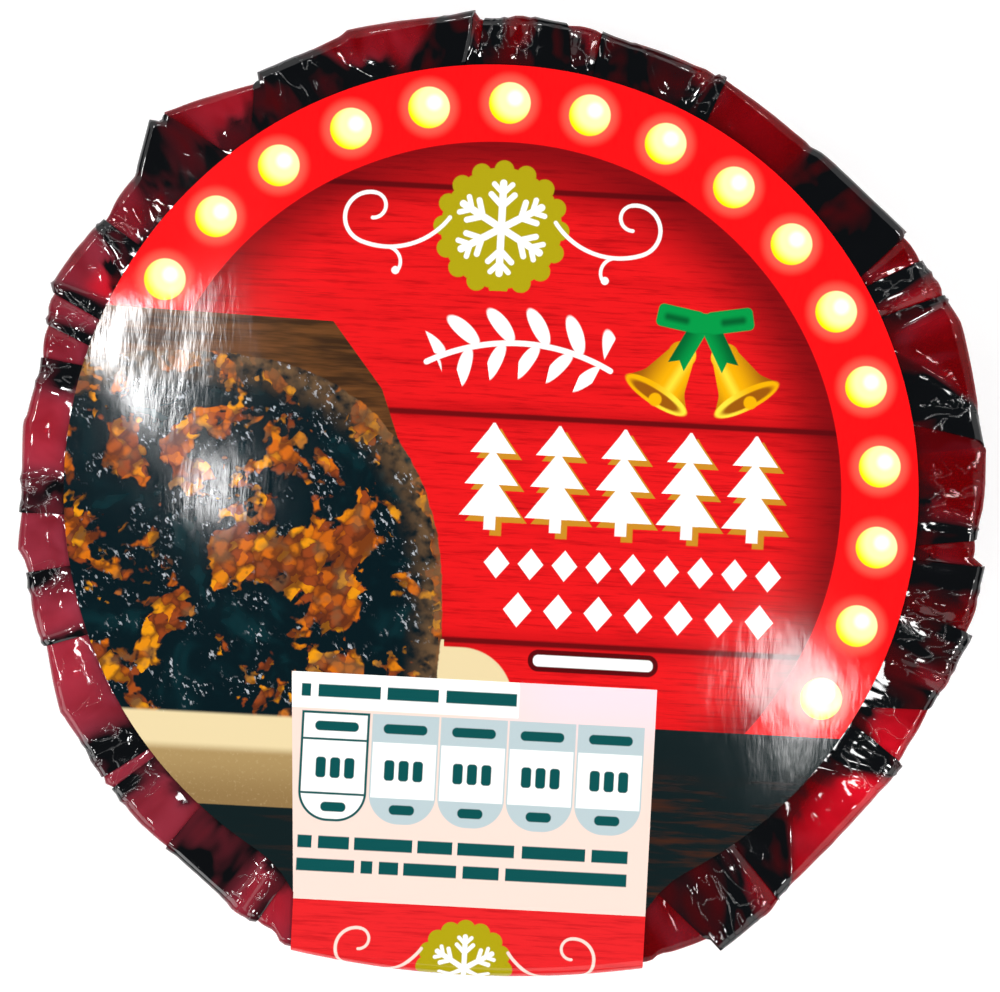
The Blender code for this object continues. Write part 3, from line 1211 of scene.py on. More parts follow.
    def bells(self, at: Place) -> None:
        """Draw two gold bells under a green bow.

        Args:
            at: The point, seen from the shape's middle.
        """
        inks, g = self.inks, self.g
        for side in (-1.0, 1.0):
            bell = at.shift(side * 2.7, -1.3).turned(side * 30.0)
            width = 1.25 + (1.4 - bell.y).most(0.0) * 0.30
            flare = (-bell.y).rise(1.2, 3.2) * 0.75
            body = (abs(bell.x) - width - flare).most(bell.y - 1.6).most(-bell.y - 3.0)
            crown = self.oval(bell.shift(0.0, 1.5), 1.3, 1.15)
            mouth = self.oval(bell.shift(0.0, -2.95), 3.25, 0.95)
            tone = g.blend(inks.bell, inks.bell_dark, (bell.x * side).rise(-0.4, 2.8))
            tone = tone.under(inks.bell_dark, (bell.x * -side).rise(1.2, 2.6) * 0.6)
            tone = tone.under(inks.bell_shine, (abs(bell.x + 0.7 * side) - 0.3).inside(0.0, 0.45) * 0.9)
            self.fill(tone, body.least(crown))
            rim = g.blend(inks.bell_shine, inks.bell, (bell.x * side).rise(-2.0, 1.0))
            self.fill(rim, mouth)
            self.fill(inks.bell_dark, self.oval(bell.shift(0.0, -3.05), 2.65, 0.55), 0.1)
            self.fill(inks.bell, bell.shift(0.15, -3.35).reach() - 0.6, 0.1)
        fold = at.shift(0.0, 2.9).mirrored()
        tail = fold.shift(0.5, -0.3).turned(-62.0)
        ribbon = self.box(tail.shift(2.1, 0.0), 2.2, 0.85, 0.1).most(tail.x + abs(tail.y) * -0.8 - 3.6)
        loop = self.box(fold.shift(2.3, 0.35).turned(10.0), 2.15, 1.05, 0.5)
        inner = self.box(fold.shift(2.6, 0.35).turned(10.0), 1.15, 0.32, 0.3)
        knot = self.box(fold, 0.8, 0.95, 0.35)
        shaded = g.blend(inks.green, inks.green_dark, tail.y.rise(-0.9, 0.9))
        self.fill(shaded, ribbon)
        self.fill(g.blend(inks.green, inks.green_dark, inner.inside(0.0, 0.3)), loop)
        edge = loop.least(knot)
        self.fill(inks.green, knot)
        self.lay(inks.green_dark, abs(edge + 0.05).inside(0.0, 0.1) * 0.6)

    def crest(self) -> None:
        """Draw the round ornament between its scrolls."""
        self.badge(self.at.shift(-0.3, 22.9), 5.6)
        self.scrolls(self.at.shift(-0.2, 22.0), 1.0, self.inks.white)

    def middle(self) -> None:
        """Draw the ornaments on the boards."""
        at, inks = self.at, self.inks
        self.fill(inks.board_light, self.box(at.shift(-8.0, -20.2), 10.8, 6.6, 4.6), 0.08)
        self.garland(at.shift(1.8, 12.0))
        self.bells(at.shift(17.8, 12.8).scaled(1.06, 1.06))
        self.trees(at.shift(11.4, 1.2))
        self.beads(at.shift(12.6, -6.1), 9, 2.95, 1.35)
        self.beads(at.shift(13.3, -10.1), 7, 3.5, 1.5)
        bar = self.box(at.shift(9.6, -14.4), 5.2, 0.5, 0.45)
        self.lay(inks.seam, bar.inside(0.45, 0.06))
        self.fill(inks.white, bar)

    def material(self) -> bpy.types.Material:
        """Return the printed paper's material for this field.

        Returns:
            The material.
        """
        g = self.g
        steps: dict[Zone, tuple[Callable[[], None], ...]] = {
            Zone.RING: (self.planks, self.bulbs), Zone.CREST: (self.planks, self.crest),
            Zone.MIDDLE: (self.planks, self.middle), Zone.PICTURE: (self.planks, self.backdrop, self.pudding),
            Zone.GROUND: (self.ground,), Zone.PANEL: (self.facts,), Zone.TAIL: (self.tail,), Zone.BACK: ()}
        cockle = g.noise(self.at.scaled(1.0, 0.4), 2.4, 2.0, 0.6)
        for step in steps[self.zone]:
            step()
        relief = g.bump(self.fibre * 0.16 + cockle, 1.0, self.relief)
        shader = g.principled({"Base Color": self.colour, "Roughness": self.roughness + 0.04 * self.fibre,
                               "IOR": self.refraction, "Normal": relief.outputs["Normal"]})
        return g.finish(shader.outputs[0])


# ---- The film ----

@dataclass(frozen=True)
class Row:
    """One ring of the film, from the base up the side and over the rim to under the label."""

    height: float      # above the floor
    level: float       # share of the way from base to rim; below 0 it is the share of the base's radius
    inset: float       # how far inside the rim
    lean: float        # the outward normal's angle above the level
    grown: float       # how wide the tucks are on the side, as a share of their width at the rim
    inward: float      # 0 at the rim, 1 at the label's edge
    slack: float       # how loose the film is there
    path: float        # how far along the film it is, from the middle of the base


@dataclass(frozen=True)
class Bound:
    """One end of a stretch of film: its angle at the rim, by the label and at the foot of its fold."""

    rim: float
    inner: float
    foot: float

    def angle(self, row: Row) -> float:
        """Return the angle on a ring.

        Args:
            row: The ring.

        Returns:
            The angle in degrees.
        """
        if row.inward > 0.0:
            return mix(self.rim, self.inner, row.inward)
        return mix(self.foot, self.rim, row.grown)


@dataclass(frozen=True)
class Column:
    """One line of the film, from the base to under the label, on a panel or inside a tuck."""

    start: Bound
    end: Bound
    share: float       # how far along the stretch it is
    layer: float       # how many layers above or below the middle one
    cover: float       # 1 where the film lies three deep, with a soft end under the panel on top
    hidden: int        # -1 or 1 where it runs on under the panel after or before it

    def angle(self, row: Row) -> float:
        """Return the line's angle on a ring, in degrees."""
        return mix(self.start.angle(row), self.end.angle(row), self.share)


@dataclass
class FilmWrap:
    """The film, as one pleated sheet of even thickness."""

    gap: float = 0.12 * MM             # from one layer to the next
    puff: float = 0.30 * MM            # how far a panel swells between its folds
    thickness: float = 0.05 * MM
    step: float = 0.70                 # degrees between two lines of film
    fade: float = 1.3                  # degrees over which a tuck's far edge shows through
    corner_soft: float = 0.5           # degrees over which the two sides of a soft corner meet
    pull: float = 0.36 * MM            # how deep the folds along the pull are
    crease: float = 0.13 * MM          # how deep the creases across it are
    sheet_low: float = 0.06 * MM       # how high the film lies under the base
    turn_inward: float = 0.25          # how far inward the top of the rim's turn counts as
    top_inward: float = 1.12           # the same at the last ring but one, just under the label
    end_inward: float = 1.2            # the same at the last ring
    end_steps: int = 4                 # how many top steps further in the last ring lies
    under: float = 0.05 * MM           # how far film that runs on under a panel lies inside it
    deepest: float = 0.8 * MM          # how much further inside it may lie
    calm: float = 0.32                 # how crumpled the film is at least
    lit_reach: float = 0.42            # how far in and out from its middle a light patch goes
    gather_dark: float = 0.85          # how dark the gathers by the label are
    degree_wide: float = 0.733         # millimetres of film in a degree at the rim
    side_rows: int = 14
    turn_rows: int = 7
    top_step: float = 0.50 * MM
    top_rows: int = 13
    tail_half: float = 15.7 * MM
    round_r: float = 43.0 * MM         # the rings grow round towards the middle, from this radius at the rim
    finish: FilmFinish = field(default_factory=FilmFinish)

    def __post_init__(self) -> None:
        """Work out the straight folds of the outline once."""
        again = Corner(CORNERS[0].angle + 360.0, CORNERS[0].before, CORNERS[0].after)
        self.panels = list(zip(CORNERS, CORNERS[1:] + (again,)))
        folds = [tuck.start if tuck.lap is A else tuck.end for tuck in TUCKS]
        self.crisp = {corner.angle % 360.0 for corner in CORNERS
                      if any(apart(fold, corner.angle) < 0.3 for fold in folds)}

    def chord(self, angle: float, panel: tuple[Corner, Corner]) -> float:
        """Return how far out the straight fold of a panel lies at an angle in degrees.

        Args:
            angle: The angle in degrees.
            panel: The corners before and after it.

        Returns:
            The reach in metres.
        """
        begin, finish = panel
        start, end, at = math.radians(begin.angle), math.radians(finish.angle), math.radians(angle)
        near, far = begin.after * MM, finish.before * MM
        return near * far * math.sin(end - start) / (near * math.sin(at - start) + far * math.sin(end - at))

    def outline(self, angle: float, hidden: int) -> tuple[float, float]:
        """Return how far out the rim is at an angle, and the share of its panel passed.

        Args:
            angle: The angle, in degrees.
            hidden: -1 on film that runs on from the panel before, 1 from the panel after, 0 on top.

        Returns:
            The reach in metres, and the share from 0 to 1.
        """
        angle = (angle - CORNERS[0].angle) % 360.0 + CORNERS[0].angle
        index = next(i for i, panel in enumerate(self.panels) if angle <= panel[1].angle + 1e-9)
        begin, finish = self.panels[index]
        reach = self.chord(angle, (begin, finish))
        for corner, near, far in ((finish, finish.before, finish.after), (begin, begin.after, begin.before)):
            if corner.angle % 360.0 not in self.crisp:
                past = abs(corner.angle - angle)
                reach += (far - near) * MM * 0.5 * (1.0 - smooth(0.0, self.corner_soft, past))
        if hidden:
            if (begin if hidden < 0 else finish).angle % 360.0 in self.crisp:
                other = self.panels[(index + hidden) % len(self.panels)]
                turns = 360.0 * round((angle - (other[0].angle + other[1].angle) / 2.0) / 360.0)
                reach = min(reach, max(self.chord(angle - turns, other), reach - self.deepest)) - self.under
        return reach, (angle - begin.angle) / (finish.angle - begin.angle)

    def rows(self) -> list[Row]:
        """Return the film's rings.

        Returns:
            The rings, from the base's middle to under the label.
        """
        rows = [Row(self.sheet_low, -share, 0.0, -math.pi / 2.0, 0.0, 0.0, 0.1, PACK.base_r * share)
                for share in (0.02, 0.5, 0.96)]
        path = PACK.base_r
        length = (PACK.side_top - PACK.base_round) / math.cos(PACK.taper)
        for i in range(self.side_rows + 1):
            level = i / self.side_rows
            slack = 0.3 + 1.5 * smooth(0.0, 0.35, level) * (1.0 - 0.7 * smooth(0.75, 1.0, level))
            rows.append(Row(mix(PACK.base_round, PACK.side_top, level), level, PACK.side_inset, -PACK.taper,
                            max(level, 0.02) ** 1.2, 0.0, slack, path + length * level))
        path += length
        for i in range(1, self.turn_rows + 1):
            around = mix(-PACK.taper, math.pi / 2.0, i / self.turn_rows)
            path += PACK.rim_round * (math.pi / 2.0 + PACK.taper) / self.turn_rows
            rows.append(Row(PACK.turn_z + PACK.rim_round * math.sin(around), 1.0,
                            PACK.rim_round * (1.0 - math.cos(around)), around, 1.0,
                            self.turn_inward * smooth(0.0, 1.0, i / self.turn_rows), 0.6, path))
        for i in range(1, self.top_rows + 1):
            inset = PACK.rim_round + i * self.top_step
            inward = mix(self.turn_inward, self.top_inward, i / self.top_rows)
            rows.append(Row(PACK.top_z, 1.0, inset, math.pi / 2.0, 1.0, inward, 0.7,
                            path + i * self.top_step))
        inset = PACK.rim_round + (self.top_rows + self.end_steps) * self.top_step
        rows.append(Row(PACK.top_z, 1.0, inset, math.pi / 2.0, 1.0, self.end_inward, 0.1, path + inset))
        return rows

    def columns(self) -> list[Column]:
        """Return the film's lines, panel by panel with the tucks between them.

        Returns:
            The lines, anticlockwise, with those of a tuck there and back.
        """
        columns: list[Column] = []
        for tuck, after in zip(TUCKS, TUCKS[1:] + TUCKS[:1]):
            turn = 360.0 if after.start < tuck.start else 0.0
            start, end = self.bounds(tuck, 0.0)
            next_start, next_end = self.bounds(after, turn)
            low, high = -tuck.lap.value, after.lap.value
            soft = (0.5 if low > 0 else 0.0, 0.5 if high > 0 else 0.0)
            columns += self.stretch(start, end, low, low, (1.0, 1.0 - soft[0]), 1 if low < 0 else 0)
            columns += self.stretch(end, next_start, low, high, soft, 0)
            columns += self.stretch(next_start, next_end, high, high, (1.0 - soft[1], 1.0),
                                    -1 if high < 0 else 0)
            columns += self.stretch(next_end, next_start, 0.0, 0.0, (1.0, 1.0), -1 if high < 0 else 1)
        return columns

    def bounds(self, tuck: Tuck, turn: float) -> tuple[Bound, Bound]:
        """Return the two ends of a tuck, turned on by an angle.

        Args:
            tuck: The tuck.
            turn: The angle in degrees.

        Returns:
            Its start and its end.
        """
        foot = (tuck.start if tuck.lap is A else tuck.end) + turn
        return (Bound(tuck.start + turn, tuck.inner_start + turn, foot),
                Bound(tuck.end + turn, tuck.inner_end + turn, foot))

    def stretch(self, start: Bound, end: Bound, low: float, high: float, covers: tuple[float, float],
                hidden: int) -> list[Column]:
        """Return the lines of one stretch of a panel or a tuck.

        Args:
            start: Where the stretch starts.
            end: Where it ends.
            low: Its layer at the start.
            high: Its layer at the end.
            covers: How double the film lies at both ends.
            hidden: -1 or 1 where it runs on under the panel after or before it, 0 on top.

        Returns:
            The lines, in order.
        """
        width = max(abs(end.rim - start.rim), abs(end.inner - start.inner) * 0.8)
        count = max(3, math.ceil(width / self.step))
        edge = 0.03 / max(width, 0.3)
        shares = [mix(edge, 1.0 - edge, i / (count - 1)) for i in range(count)]
        middle = 1.0 if covers[0] + covers[1] > 1.2 else 0.0
        lines = []
        for share in shares:
            cover = mix(covers[0], middle, smooth(0.0, self.fade, share * width))
            cover = mix(covers[1], cover, smooth(0.0, self.fade, (1.0 - share) * width))
            lines.append(Column(start, end, share, mix(low, high, smooth(0.0, 1.0, share)), cover, hidden))
        return lines

    def crumple(self, angle: float) -> float:
        """Return how crumpled the film is at an angle in degrees.

        Args:
            angle: The angle.

        Returns:
            1 where it is fairly crumpled, more where it is worse.
        """
        most = self.calm
        for middle, half, much in CRUMPLED:
            most = max(most, much * (1.0 - smooth(0.3 * half, half, apart(angle, middle))))
        return most

    def cover(self, row: Row, column: Column) -> float:
        """Return how double the film lies, 0 in one layer and 1 in a tuck, darkened further by the gathers
        and by painted shade towards the label.
        """
        # the last term is painted shade that darkens the film towards the label's edge
        return max(column.cover, self.gathered(column.angle(row), row.inward),
                   0.42 * smooth(0.5, 1.05, row.inward))

    def pale(self, row: Row, column: Column) -> float:
        """Return how pale and pink the film is painted: a painted sheen that is most on the left and over the
        rim.
        """
        left = (0.5 - 0.5 * math.cos(math.radians(column.angle(row) - 25.0))) ** 2.0
        return left * mix(0.35, 1.0, smooth(0.7, 1.0, row.level))

    def lit(self, row: Row, column: Column) -> float:
        """Return how much light comes through the film, which is most where it stands off the basin.

        Args:
            row: The ring.
            column: The line.

        Returns:
            0 where none does, about 1 at most.
        """
        angle = column.angle(row)
        most = 0.0
        for middle, half, where, much in LIT:
            off = apart(angle, middle) / half
            deep = abs(row.inward - where) / self.lit_reach
            if off < 1.0 and deep < 1.0:
                most = max(most, much * (1.0 - off * off) * (1.0 - deep * deep))
        return most * max(0.0, 1.0 - column.cover)

    def gathered(self, angle: float, inward: float) -> float:
        """Return how dark the gathers by the label are, at an angle in degrees and a share of the way in.

        Args:
            angle: The angle.
            inward: The share of the way in.

        Returns:
            0 where there are none, the darkest share at most.
        """
        most = 0.0
        for middle, half, reach in GATHERED:
            off = apart(angle, middle) / half
            edge = 1.0 - reach * (1.0 - off * off) + 0.10 * math.sin(angle * 1.7) * math.sin(angle * 0.61)
            if off < 1.0:
                most = max(most, smooth(edge - 0.10, edge + 0.08, inward))
        return self.gather_dark * most

    def point(self, row: Row, column: Column) -> tuple[Vector, Vector, tuple[float, float], float]:
        """Return a point of the film.

        Args:
            row: The ring that it is on.
            column: The line that it is on.

        Returns:
            The point, the way out of the film there, its place on the film in millimetres, and the slack.
        """
        degrees = column.angle(row)
        angle = math.radians(degrees)
        reach, along = self.outline(degrees, column.hidden)
        if row.level < 0.0:
            out = (PACK.base_r - PACK.base_round) * -row.level
        elif row.level < 1.0:
            sag = PACK.sag * math.sin(math.pi * along) * 4.0 * row.level * (1.0 - row.level)
            out = self.behind_tail(angle, mix(PACK.base_r, reach - row.inset, row.level) - sag, row)
        else:
            out = self.behind_tail(angle, reach - row.inset, row)
            out = mix(out, self.round_r - row.inset, smooth(1.0 * MM, 9.0 * MM, row.inset))
        away = Vector((math.cos(angle), math.sin(angle), 0.0))
        normal = away * math.cos(row.lean) + Vector((0.0, 0.0, math.sin(row.lean)))
        depth = 0.0 if row.level < 0.0 else column.layer * self.gap * min(1.0, row.grown * 1.5)
        free = mix(0.08, 1.0, smooth(PACK.label_r, PACK.label_r + 1.6 * MM, out)) if row.level >= 1.0 else 1.0
        front = from_front(angle)
        if abs(front) < math.pi / 4.0:
            beside = abs(out * math.sin(front))
            free *= mix(0.04, 1.0, smooth(self.tail_half + 0.3 * MM, self.tail_half + 2.3 * MM, beside))
        if column.cover < 1.0 and not column.hidden:
            depth += self.puff * math.sin(math.pi * column.share) * row.slack * max(row.level, 0.0) * free
        place = away * out + Vector((0.0, 0.0, row.height)) + normal * depth
        slack = row.slack * self.crumple(degrees) * free
        return place, normal, (degrees * self.degree_wide, row.path / MM), slack

    def behind_tail(self, angle: float, reach: float, row: Row) -> float:
        """Return the reach of the film, drawn flat where the tail lies on it.

        Args:
            angle: The angle in radians.
            reach: The reach without the tail.
            row: The ring.

        Returns:
            The reach in metres.
        """
        front = from_front(angle)
        if abs(front) > math.pi / 4.0:
            return reach
        depth = mix(PACK.base_r, PACK.front - row.inset, row.level)
        bow = PACK.bow(row.level)
        across, ahead = math.sin(front), math.cos(front)
        flat = 2.0 * depth / (ahead + math.sqrt(ahead * ahead + 4.0 * bow * depth * across * across))
        held = 1.0 - smooth(self.tail_half, self.tail_half + 1.2 * MM, abs(reach * math.sin(front)))
        return mix(reach, flat, held)

    def sheet(self) -> bpy.types.Object:
        """Return the film as an open sheet with its places written on it.

        Returns:
            The sheet's object.
        """
        rows, columns = self.rows(), self.columns()
        points = [[self.point(row, column) for column in columns] for row in rows]
        mesh = bpy.data.meshes.new("film_wrap_sheet")
        vertices = [point[0] for row in points for point in row]
        wide = len(columns)
        faces = []
        for i in range(len(rows) - 1):
            for j in range(wide):
                k = (j + 1) % wide
                faces.append((i * wide + j, i * wide + k, (i + 1) * wide + k, (i + 1) * wide + j))
        vertices.append(Vector((0.0, 0.0, self.sheet_low)))
        faces += [(len(vertices) - 1, (j + 1) % wide, j) for j in range(wide)]
        mesh.from_pydata(vertices, [], faces)
        self.write(mesh, "outward", "FLOAT_VECTOR", [tuple(p[1]) for row in points for p in row]
                   + [(0, 0, -1)])
        self.write(mesh, "place", "FLOAT_VECTOR", [(*p[2], 0.0) for row in points for p in row] + [(0, 0, 0)])
        self.write(mesh, "slack", "FLOAT", [p[3] for row in points for p in row] + [0.0])
        for name, measure in (("cover", self.cover), ("pale", self.pale), ("lit", self.lit)):
            self.write(mesh, name, "FLOAT", [measure(row, column) for row in rows for column in columns]
                       + [0.0])
        return link(bpy.data.objects.new("film", mesh))

    def write(self, mesh: bpy.types.Mesh, name: str, kind: str, values: list) -> None:
        """Write an attribute on a mesh's points.

        Args:
            mesh: The mesh.
            name: The attribute's name.
            kind: Its data type.
            values: One value a point.
        """
        layer = mesh.attributes.new(name, kind, "POINT")
        key = "vector" if kind == "FLOAT_VECTOR" else "value"
        flat = [part for value in values for part in value] if key == "vector" else values
        layer.data.foreach_set(key, flat)

    def crinkle(self, material: bpy.types.Material) -> Geometry:
        """Return the nodes that crinkle the film along its pull and in small facets.

        Args:
            material: The film's material.

        Returns:
            The nodes.
        """
        tree = Geometry("crinkled_film", {"Pull Depth": 0.4 * MM, "Pull Width": 5.0, "Crease Depth": 0.2 * MM,
                                          "Crease Width": 2.6, "Seed": 3.0})
        place = Place(tree, tree.read("place", "FLOAT_VECTOR"))
        heights = []
        for name, stretch, slant in (("Pull", 0.30, 0.0), ("Crease", 0.75, 0.6)):
            noise = tree.make("ShaderNodeTexNoise", {"noise_dimensions": "4D"}, {
                "Vector": tree.place(place.x + place.y * slant, place.y * stretch), "W": tree.named("Seed"),
                "Scale": 1.0 / tree.named(f"{name} Width"), "Detail": 0.8, "Distortion": 0.5})
            off = Value(tree, noise.outputs[0]) - 0.5
            ridge = 0.6 - tree.sum("SQRT", off * off + 0.0012) * 5.0
            heights.append(ridge * tree.named(f"{name} Depth"))
        amount = (heights[0] + heights[1]) * Value(tree, tree.read("slack", "FLOAT"))
        offset = tree.make("ShaderNodeVectorMath", {"operation": "SCALE"},
                           {0: tree.read("outward", "FLOAT_VECTOR"), "Scale": amount}).outputs["Vector"]
        moved = tree.make("GeometryNodeSetPosition", {}, {"Geometry": tree.source.outputs["Geometry"],
                                                          "Offset": offset})
        tree.close(moved.outputs["Geometry"], material)
        return tree

    def build(self) -> bpy.types.Object:
        """Build the film as a thin closed shell.

        Returns:
            The finished film.
        """
        film = self.sheet()
        material = self.finish.material()
        film.data.materials.append(material)
        depths = {"Pull Depth": self.pull, "Crease Depth": self.crease, "Seed": 3.0}
        self.crinkle(material).apply(film, depths)
        shell = film.modifiers.new("thickness", "SOLIDIFY")
        shell.thickness = self.thickness
        shell.offset = -1.0
        return settle(film, 50.0)


# ---- The basin inside ----

@dataclass
class Basin:
    """The shut basin seen darkly through the film: a tapered cup with a flange and a flat top."""

    base_r: float = 22.8 * MM
    wall_top: float = 33.6 * MM
    flange_r: float = 36.3 * MM
    floor_gap: float = 0.5 * MM
    top_gap: float = 0.9 * MM
    flange: float = 1.6 * MM
    foot_high: float = 2.0 * MM      # where the foot's rounding ends
    foot_share: float = 0.92         # how narrow it is at the bottom
    sides: int = 96
    rings: int = 60
    finish: BasinFinish = field(default_factory=BasinFinish)

    def build(self) -> bpy.types.Object:
        """Build the basin with Geometry Nodes from a plain cylinder.

        Returns:
            The finished basin.
        """
        depth = PACK.top_z - self.top_gap - self.floor_gap
        material = self.finish.material()
        tree = Geometry("turned_basin", {
            "Depth": depth, "Base Radius": self.base_r, "Top Radius": self.wall_top,
            "Flange Radius": self.flange_r, "Flange Depth": self.flange, "Floor Gap": self.floor_gap})
        tall, top = tree.named("Depth"), tree.named("Top Radius")
        stock = tree.make("GeometryNodeMeshCylinder", {"fill_type": "TRIANGLE_FAN"}, {
            "Vertices": self.sides, "Side Segments": self.rings, "Fill Segments": 6, "Radius": 1.0,
            "Depth": tall})
        place = Place(tree, tree.make("GeometryNodeInputPosition", {}, {}).outputs[0])
        above = place.z + tall * 0.5
        wall = Value(tree, tree.make("ShaderNodeMapRange", {"clamp": True}, {
            "Value": above / tall, "To Min": tree.named("Base Radius"), "To Max": top}).outputs[0])
        on_flange = tree.sum("GREATER_THAN", above, tall - tree.named("Flange Depth"))
        foot = tree.make("ShaderNodeMapRange", {"clamp": True}, {
            "Value": above, "From Max": self.foot_high, "To Min": self.foot_share, "To Max": 1.0}).outputs[0]
        radius = (wall + on_flange * (tree.named("Flange Radius") - top)) * Value(tree, foot)
        scaled = tree.vector("MULTIPLY", place, tree.place(radius, radius, 1.0))
        lifted = tree.vector("ADD", scaled, tree.place(0.0, 0.0, tall * 0.5 + tree.named("Floor Gap")))
        turned = tree.make("GeometryNodeSetPosition", {}, {"Geometry": stock.outputs["Mesh"],
                                                           "Position": lifted})
        tree.close(turned.outputs["Geometry"], material)
        basin = link(bpy.data.objects.new("basin", bpy.data.meshes.new("basin")))
        basin.data.materials.append(material)
        tree.apply(basin, {"Depth": depth})
        return settle(basin, 35.0)


# ---- The label ----

@dataclass
class Label:
    """The printed paper: a disc pressed on the film, and a tail that turns over the rim."""

    tail_half: float = 15.3 * MM
    thickness: float = 0.12 * MM
    lift: float = 0.30 * MM          # how far over the film's top it lies
    step: float = 1.0 * MM
    rim_points: int = 168
    rings: int = 34
    tail_columns: int = 28
    turn_rows: int = 14
    fillet: float = 1.8 * MM         # how far the disc runs on beside the tail
    fillet_reach: float = 4.6 * MM
    low_gap: float = 0.2 * MM        # how far above the frame's lowest point the tail ends
    uneven: float = 0.05 * MM        # how far the pressed paper stands up or dips
    settled: float = 0.80            # the share of the radius from which the rim ripples
    layout: Layout = field(default_factory=Layout)

    def tail_line(self) -> list[tuple[float, float, float, float]]:
        """Return the tail from its side: how far forward, how high, its bow, and how far along the paper.

        Returns:
            One entry a row, from the disc downwards.
        """
        start = math.sqrt(PACK.label_r ** 2 - self.tail_half ** 2)
        centre = PACK.front - PACK.rim_round
        turn_r = PACK.rim_round + PACK.paper_gap
        line = [(mix(start, centre, i / 6.0), PACK.top_z + self.lift, PACK.bow(1.0) * i / 6.0,
                 mix(start, centre, i / 6.0)) for i in range(3, 6)]
        along = centre
        for row in range(self.turn_rows + 1):
            around = mix(math.pi / 2.0, -PACK.taper, row / self.turn_rows)
            line.append((centre + turn_r * math.cos(around), PACK.turn_z + turn_r * math.sin(around),
                         PACK.bow(1.0), along + turn_r * (math.pi / 2.0 - around)))
        _, top_z, _, along = line[-1]
        rows = math.ceil((top_z - PACK.label_low) / math.cos(PACK.taper) / self.step)
        for row in range(1, rows + 1):
            height = mix(top_z, PACK.label_low + self.low_gap, row / rows)
            level = (height - PACK.base_round) / (PACK.side_top - PACK.base_round)
            ahead = (mix(PACK.base_r, PACK.front - PACK.side_inset, level)
                     + PACK.paper_gap / math.cos(PACK.taper))
            line.append((ahead, height, PACK.bow(level), along + (top_z - height) / math.cos(PACK.taper)))
        return line

    def wave(self, x: float, y: float) -> float:
        """Return how far the flat paper stands up or dips at a point.

        Args:
            x: The point's place across.
            y: Its place up the sheet.

        Returns:
            The height in metres.
        """
        reach = math.hypot(x, y)
        rim = smooth(self.settled * PACK.label_r, PACK.label_r, reach)
        ripple = math.sin(7.0 * math.atan2(y, x) + 0.8) + 0.6 * math.sin(12.0 * math.atan2(y, x))
        swell = math.sin(x / (9.0 * MM) + 0.7) * math.sin(y / (11.0 * MM))
        return self.uneven * ripple * rim + self.uneven * swell

    def edge(self) -> list[tuple[float, float]]:
        """Return the disc's outline: the line where the tail starts, then round the rim.

        Returns:
            The outline's points, anticlockwise from the tail's left.
        """
        chord = -math.sqrt(PACK.label_r ** 2 - self.tail_half ** 2)
        edge = [(x, chord - self.fillet * abs(x / self.tail_half) ** 8.0) for x in self.across()]
        corner = math.asin(self.tail_half / PACK.label_r)
        first, sweep = -math.pi / 2.0 + corner, 2.0 * (math.pi - corner)
        for i in range(1, self.rim_points):
            turn = sweep * i / self.rim_points
            near = min(turn, sweep - turn) * PACK.label_r / self.fillet_reach
            run_on = self.fillet * max(0.0, 1.0 - near) ** 3.0
            edge.append((PACK.label_r * math.cos(first + turn),
                         PACK.label_r * math.sin(first + turn) - run_on))
        return edge

    def across(self) -> list[float]:
        """Return the places across the tail."""
        return [mix(-self.tail_half, self.tail_half, i / self.tail_columns)
                for i in range(self.tail_columns + 1)]

    def spot(self, sheet: bmesh.types.BMesh, x: float, y: float, z: float,
             flat_y: float) -> bmesh.types.BMVert:
        """Add a point of the paper, with its place on the flat sheet in millimetres.

        Args:
            sheet: The paper.
            x: Its place across.
            y: Its place forwards and back.
            z: Its height.
            flat_y: Its place up the flat sheet.

        Returns:
            The point.
        """
        vertex = sheet.verts.new((x, y, z))
        vertex[sheet.verts.layers.float_vector["sheet"]] = Vector((x / MM, flat_y / MM, 0.0))
        return vertex

    def disc(self, sheet: bmesh.types.BMesh) -> list[bmesh.types.BMVert]:
        """Add the disc, ring by ring, and return the points where the tail starts.

        Args:
            sheet: The paper.

        Returns:
            The points where the tail starts.
        """
        edge = self.edge()
        top = PACK.top_z + self.lift
        rows = []
        for ring in range(1, self.rings + 1):
            share = ring / self.rings
            rows.append([self.spot(sheet, x * share, y * share, top + self.wave(x * share, y * share),
                                   y * share) for x, y in edge])
        centre = self.spot(sheet, 0.0, 0.0, top + self.wave(0.0, 0.0), 0.0)
        for j in range(len(edge)):
            k = (j + 1) % len(edge)
            sheet.faces.new((centre, rows[0][j], rows[0][k]))
            for low, high in zip(rows, rows[1:]):
                sheet.faces.new((low[j], high[j], high[k], low[k]))
        return rows[-1][:self.tail_columns + 1]

    def tail(self, sheet: bmesh.types.BMesh, upper: list[bmesh.types.BMVert]) -> None:
        """Add the tail, from the points where it leaves the disc.

        Args:
            sheet: The paper.
            upper: The points where the tail starts.
        """
        for ahead, height, bow, along in self.tail_line():
            lower = [self.spot(sheet, x, -ahead + bow * x * x, height, -along + bow * x * x)
                     for x in self.across()]
            for i in range(self.tail_columns):
                sheet.faces.new((lower[i], lower[i + 1], upper[i + 1], upper[i]))
            upper = lower

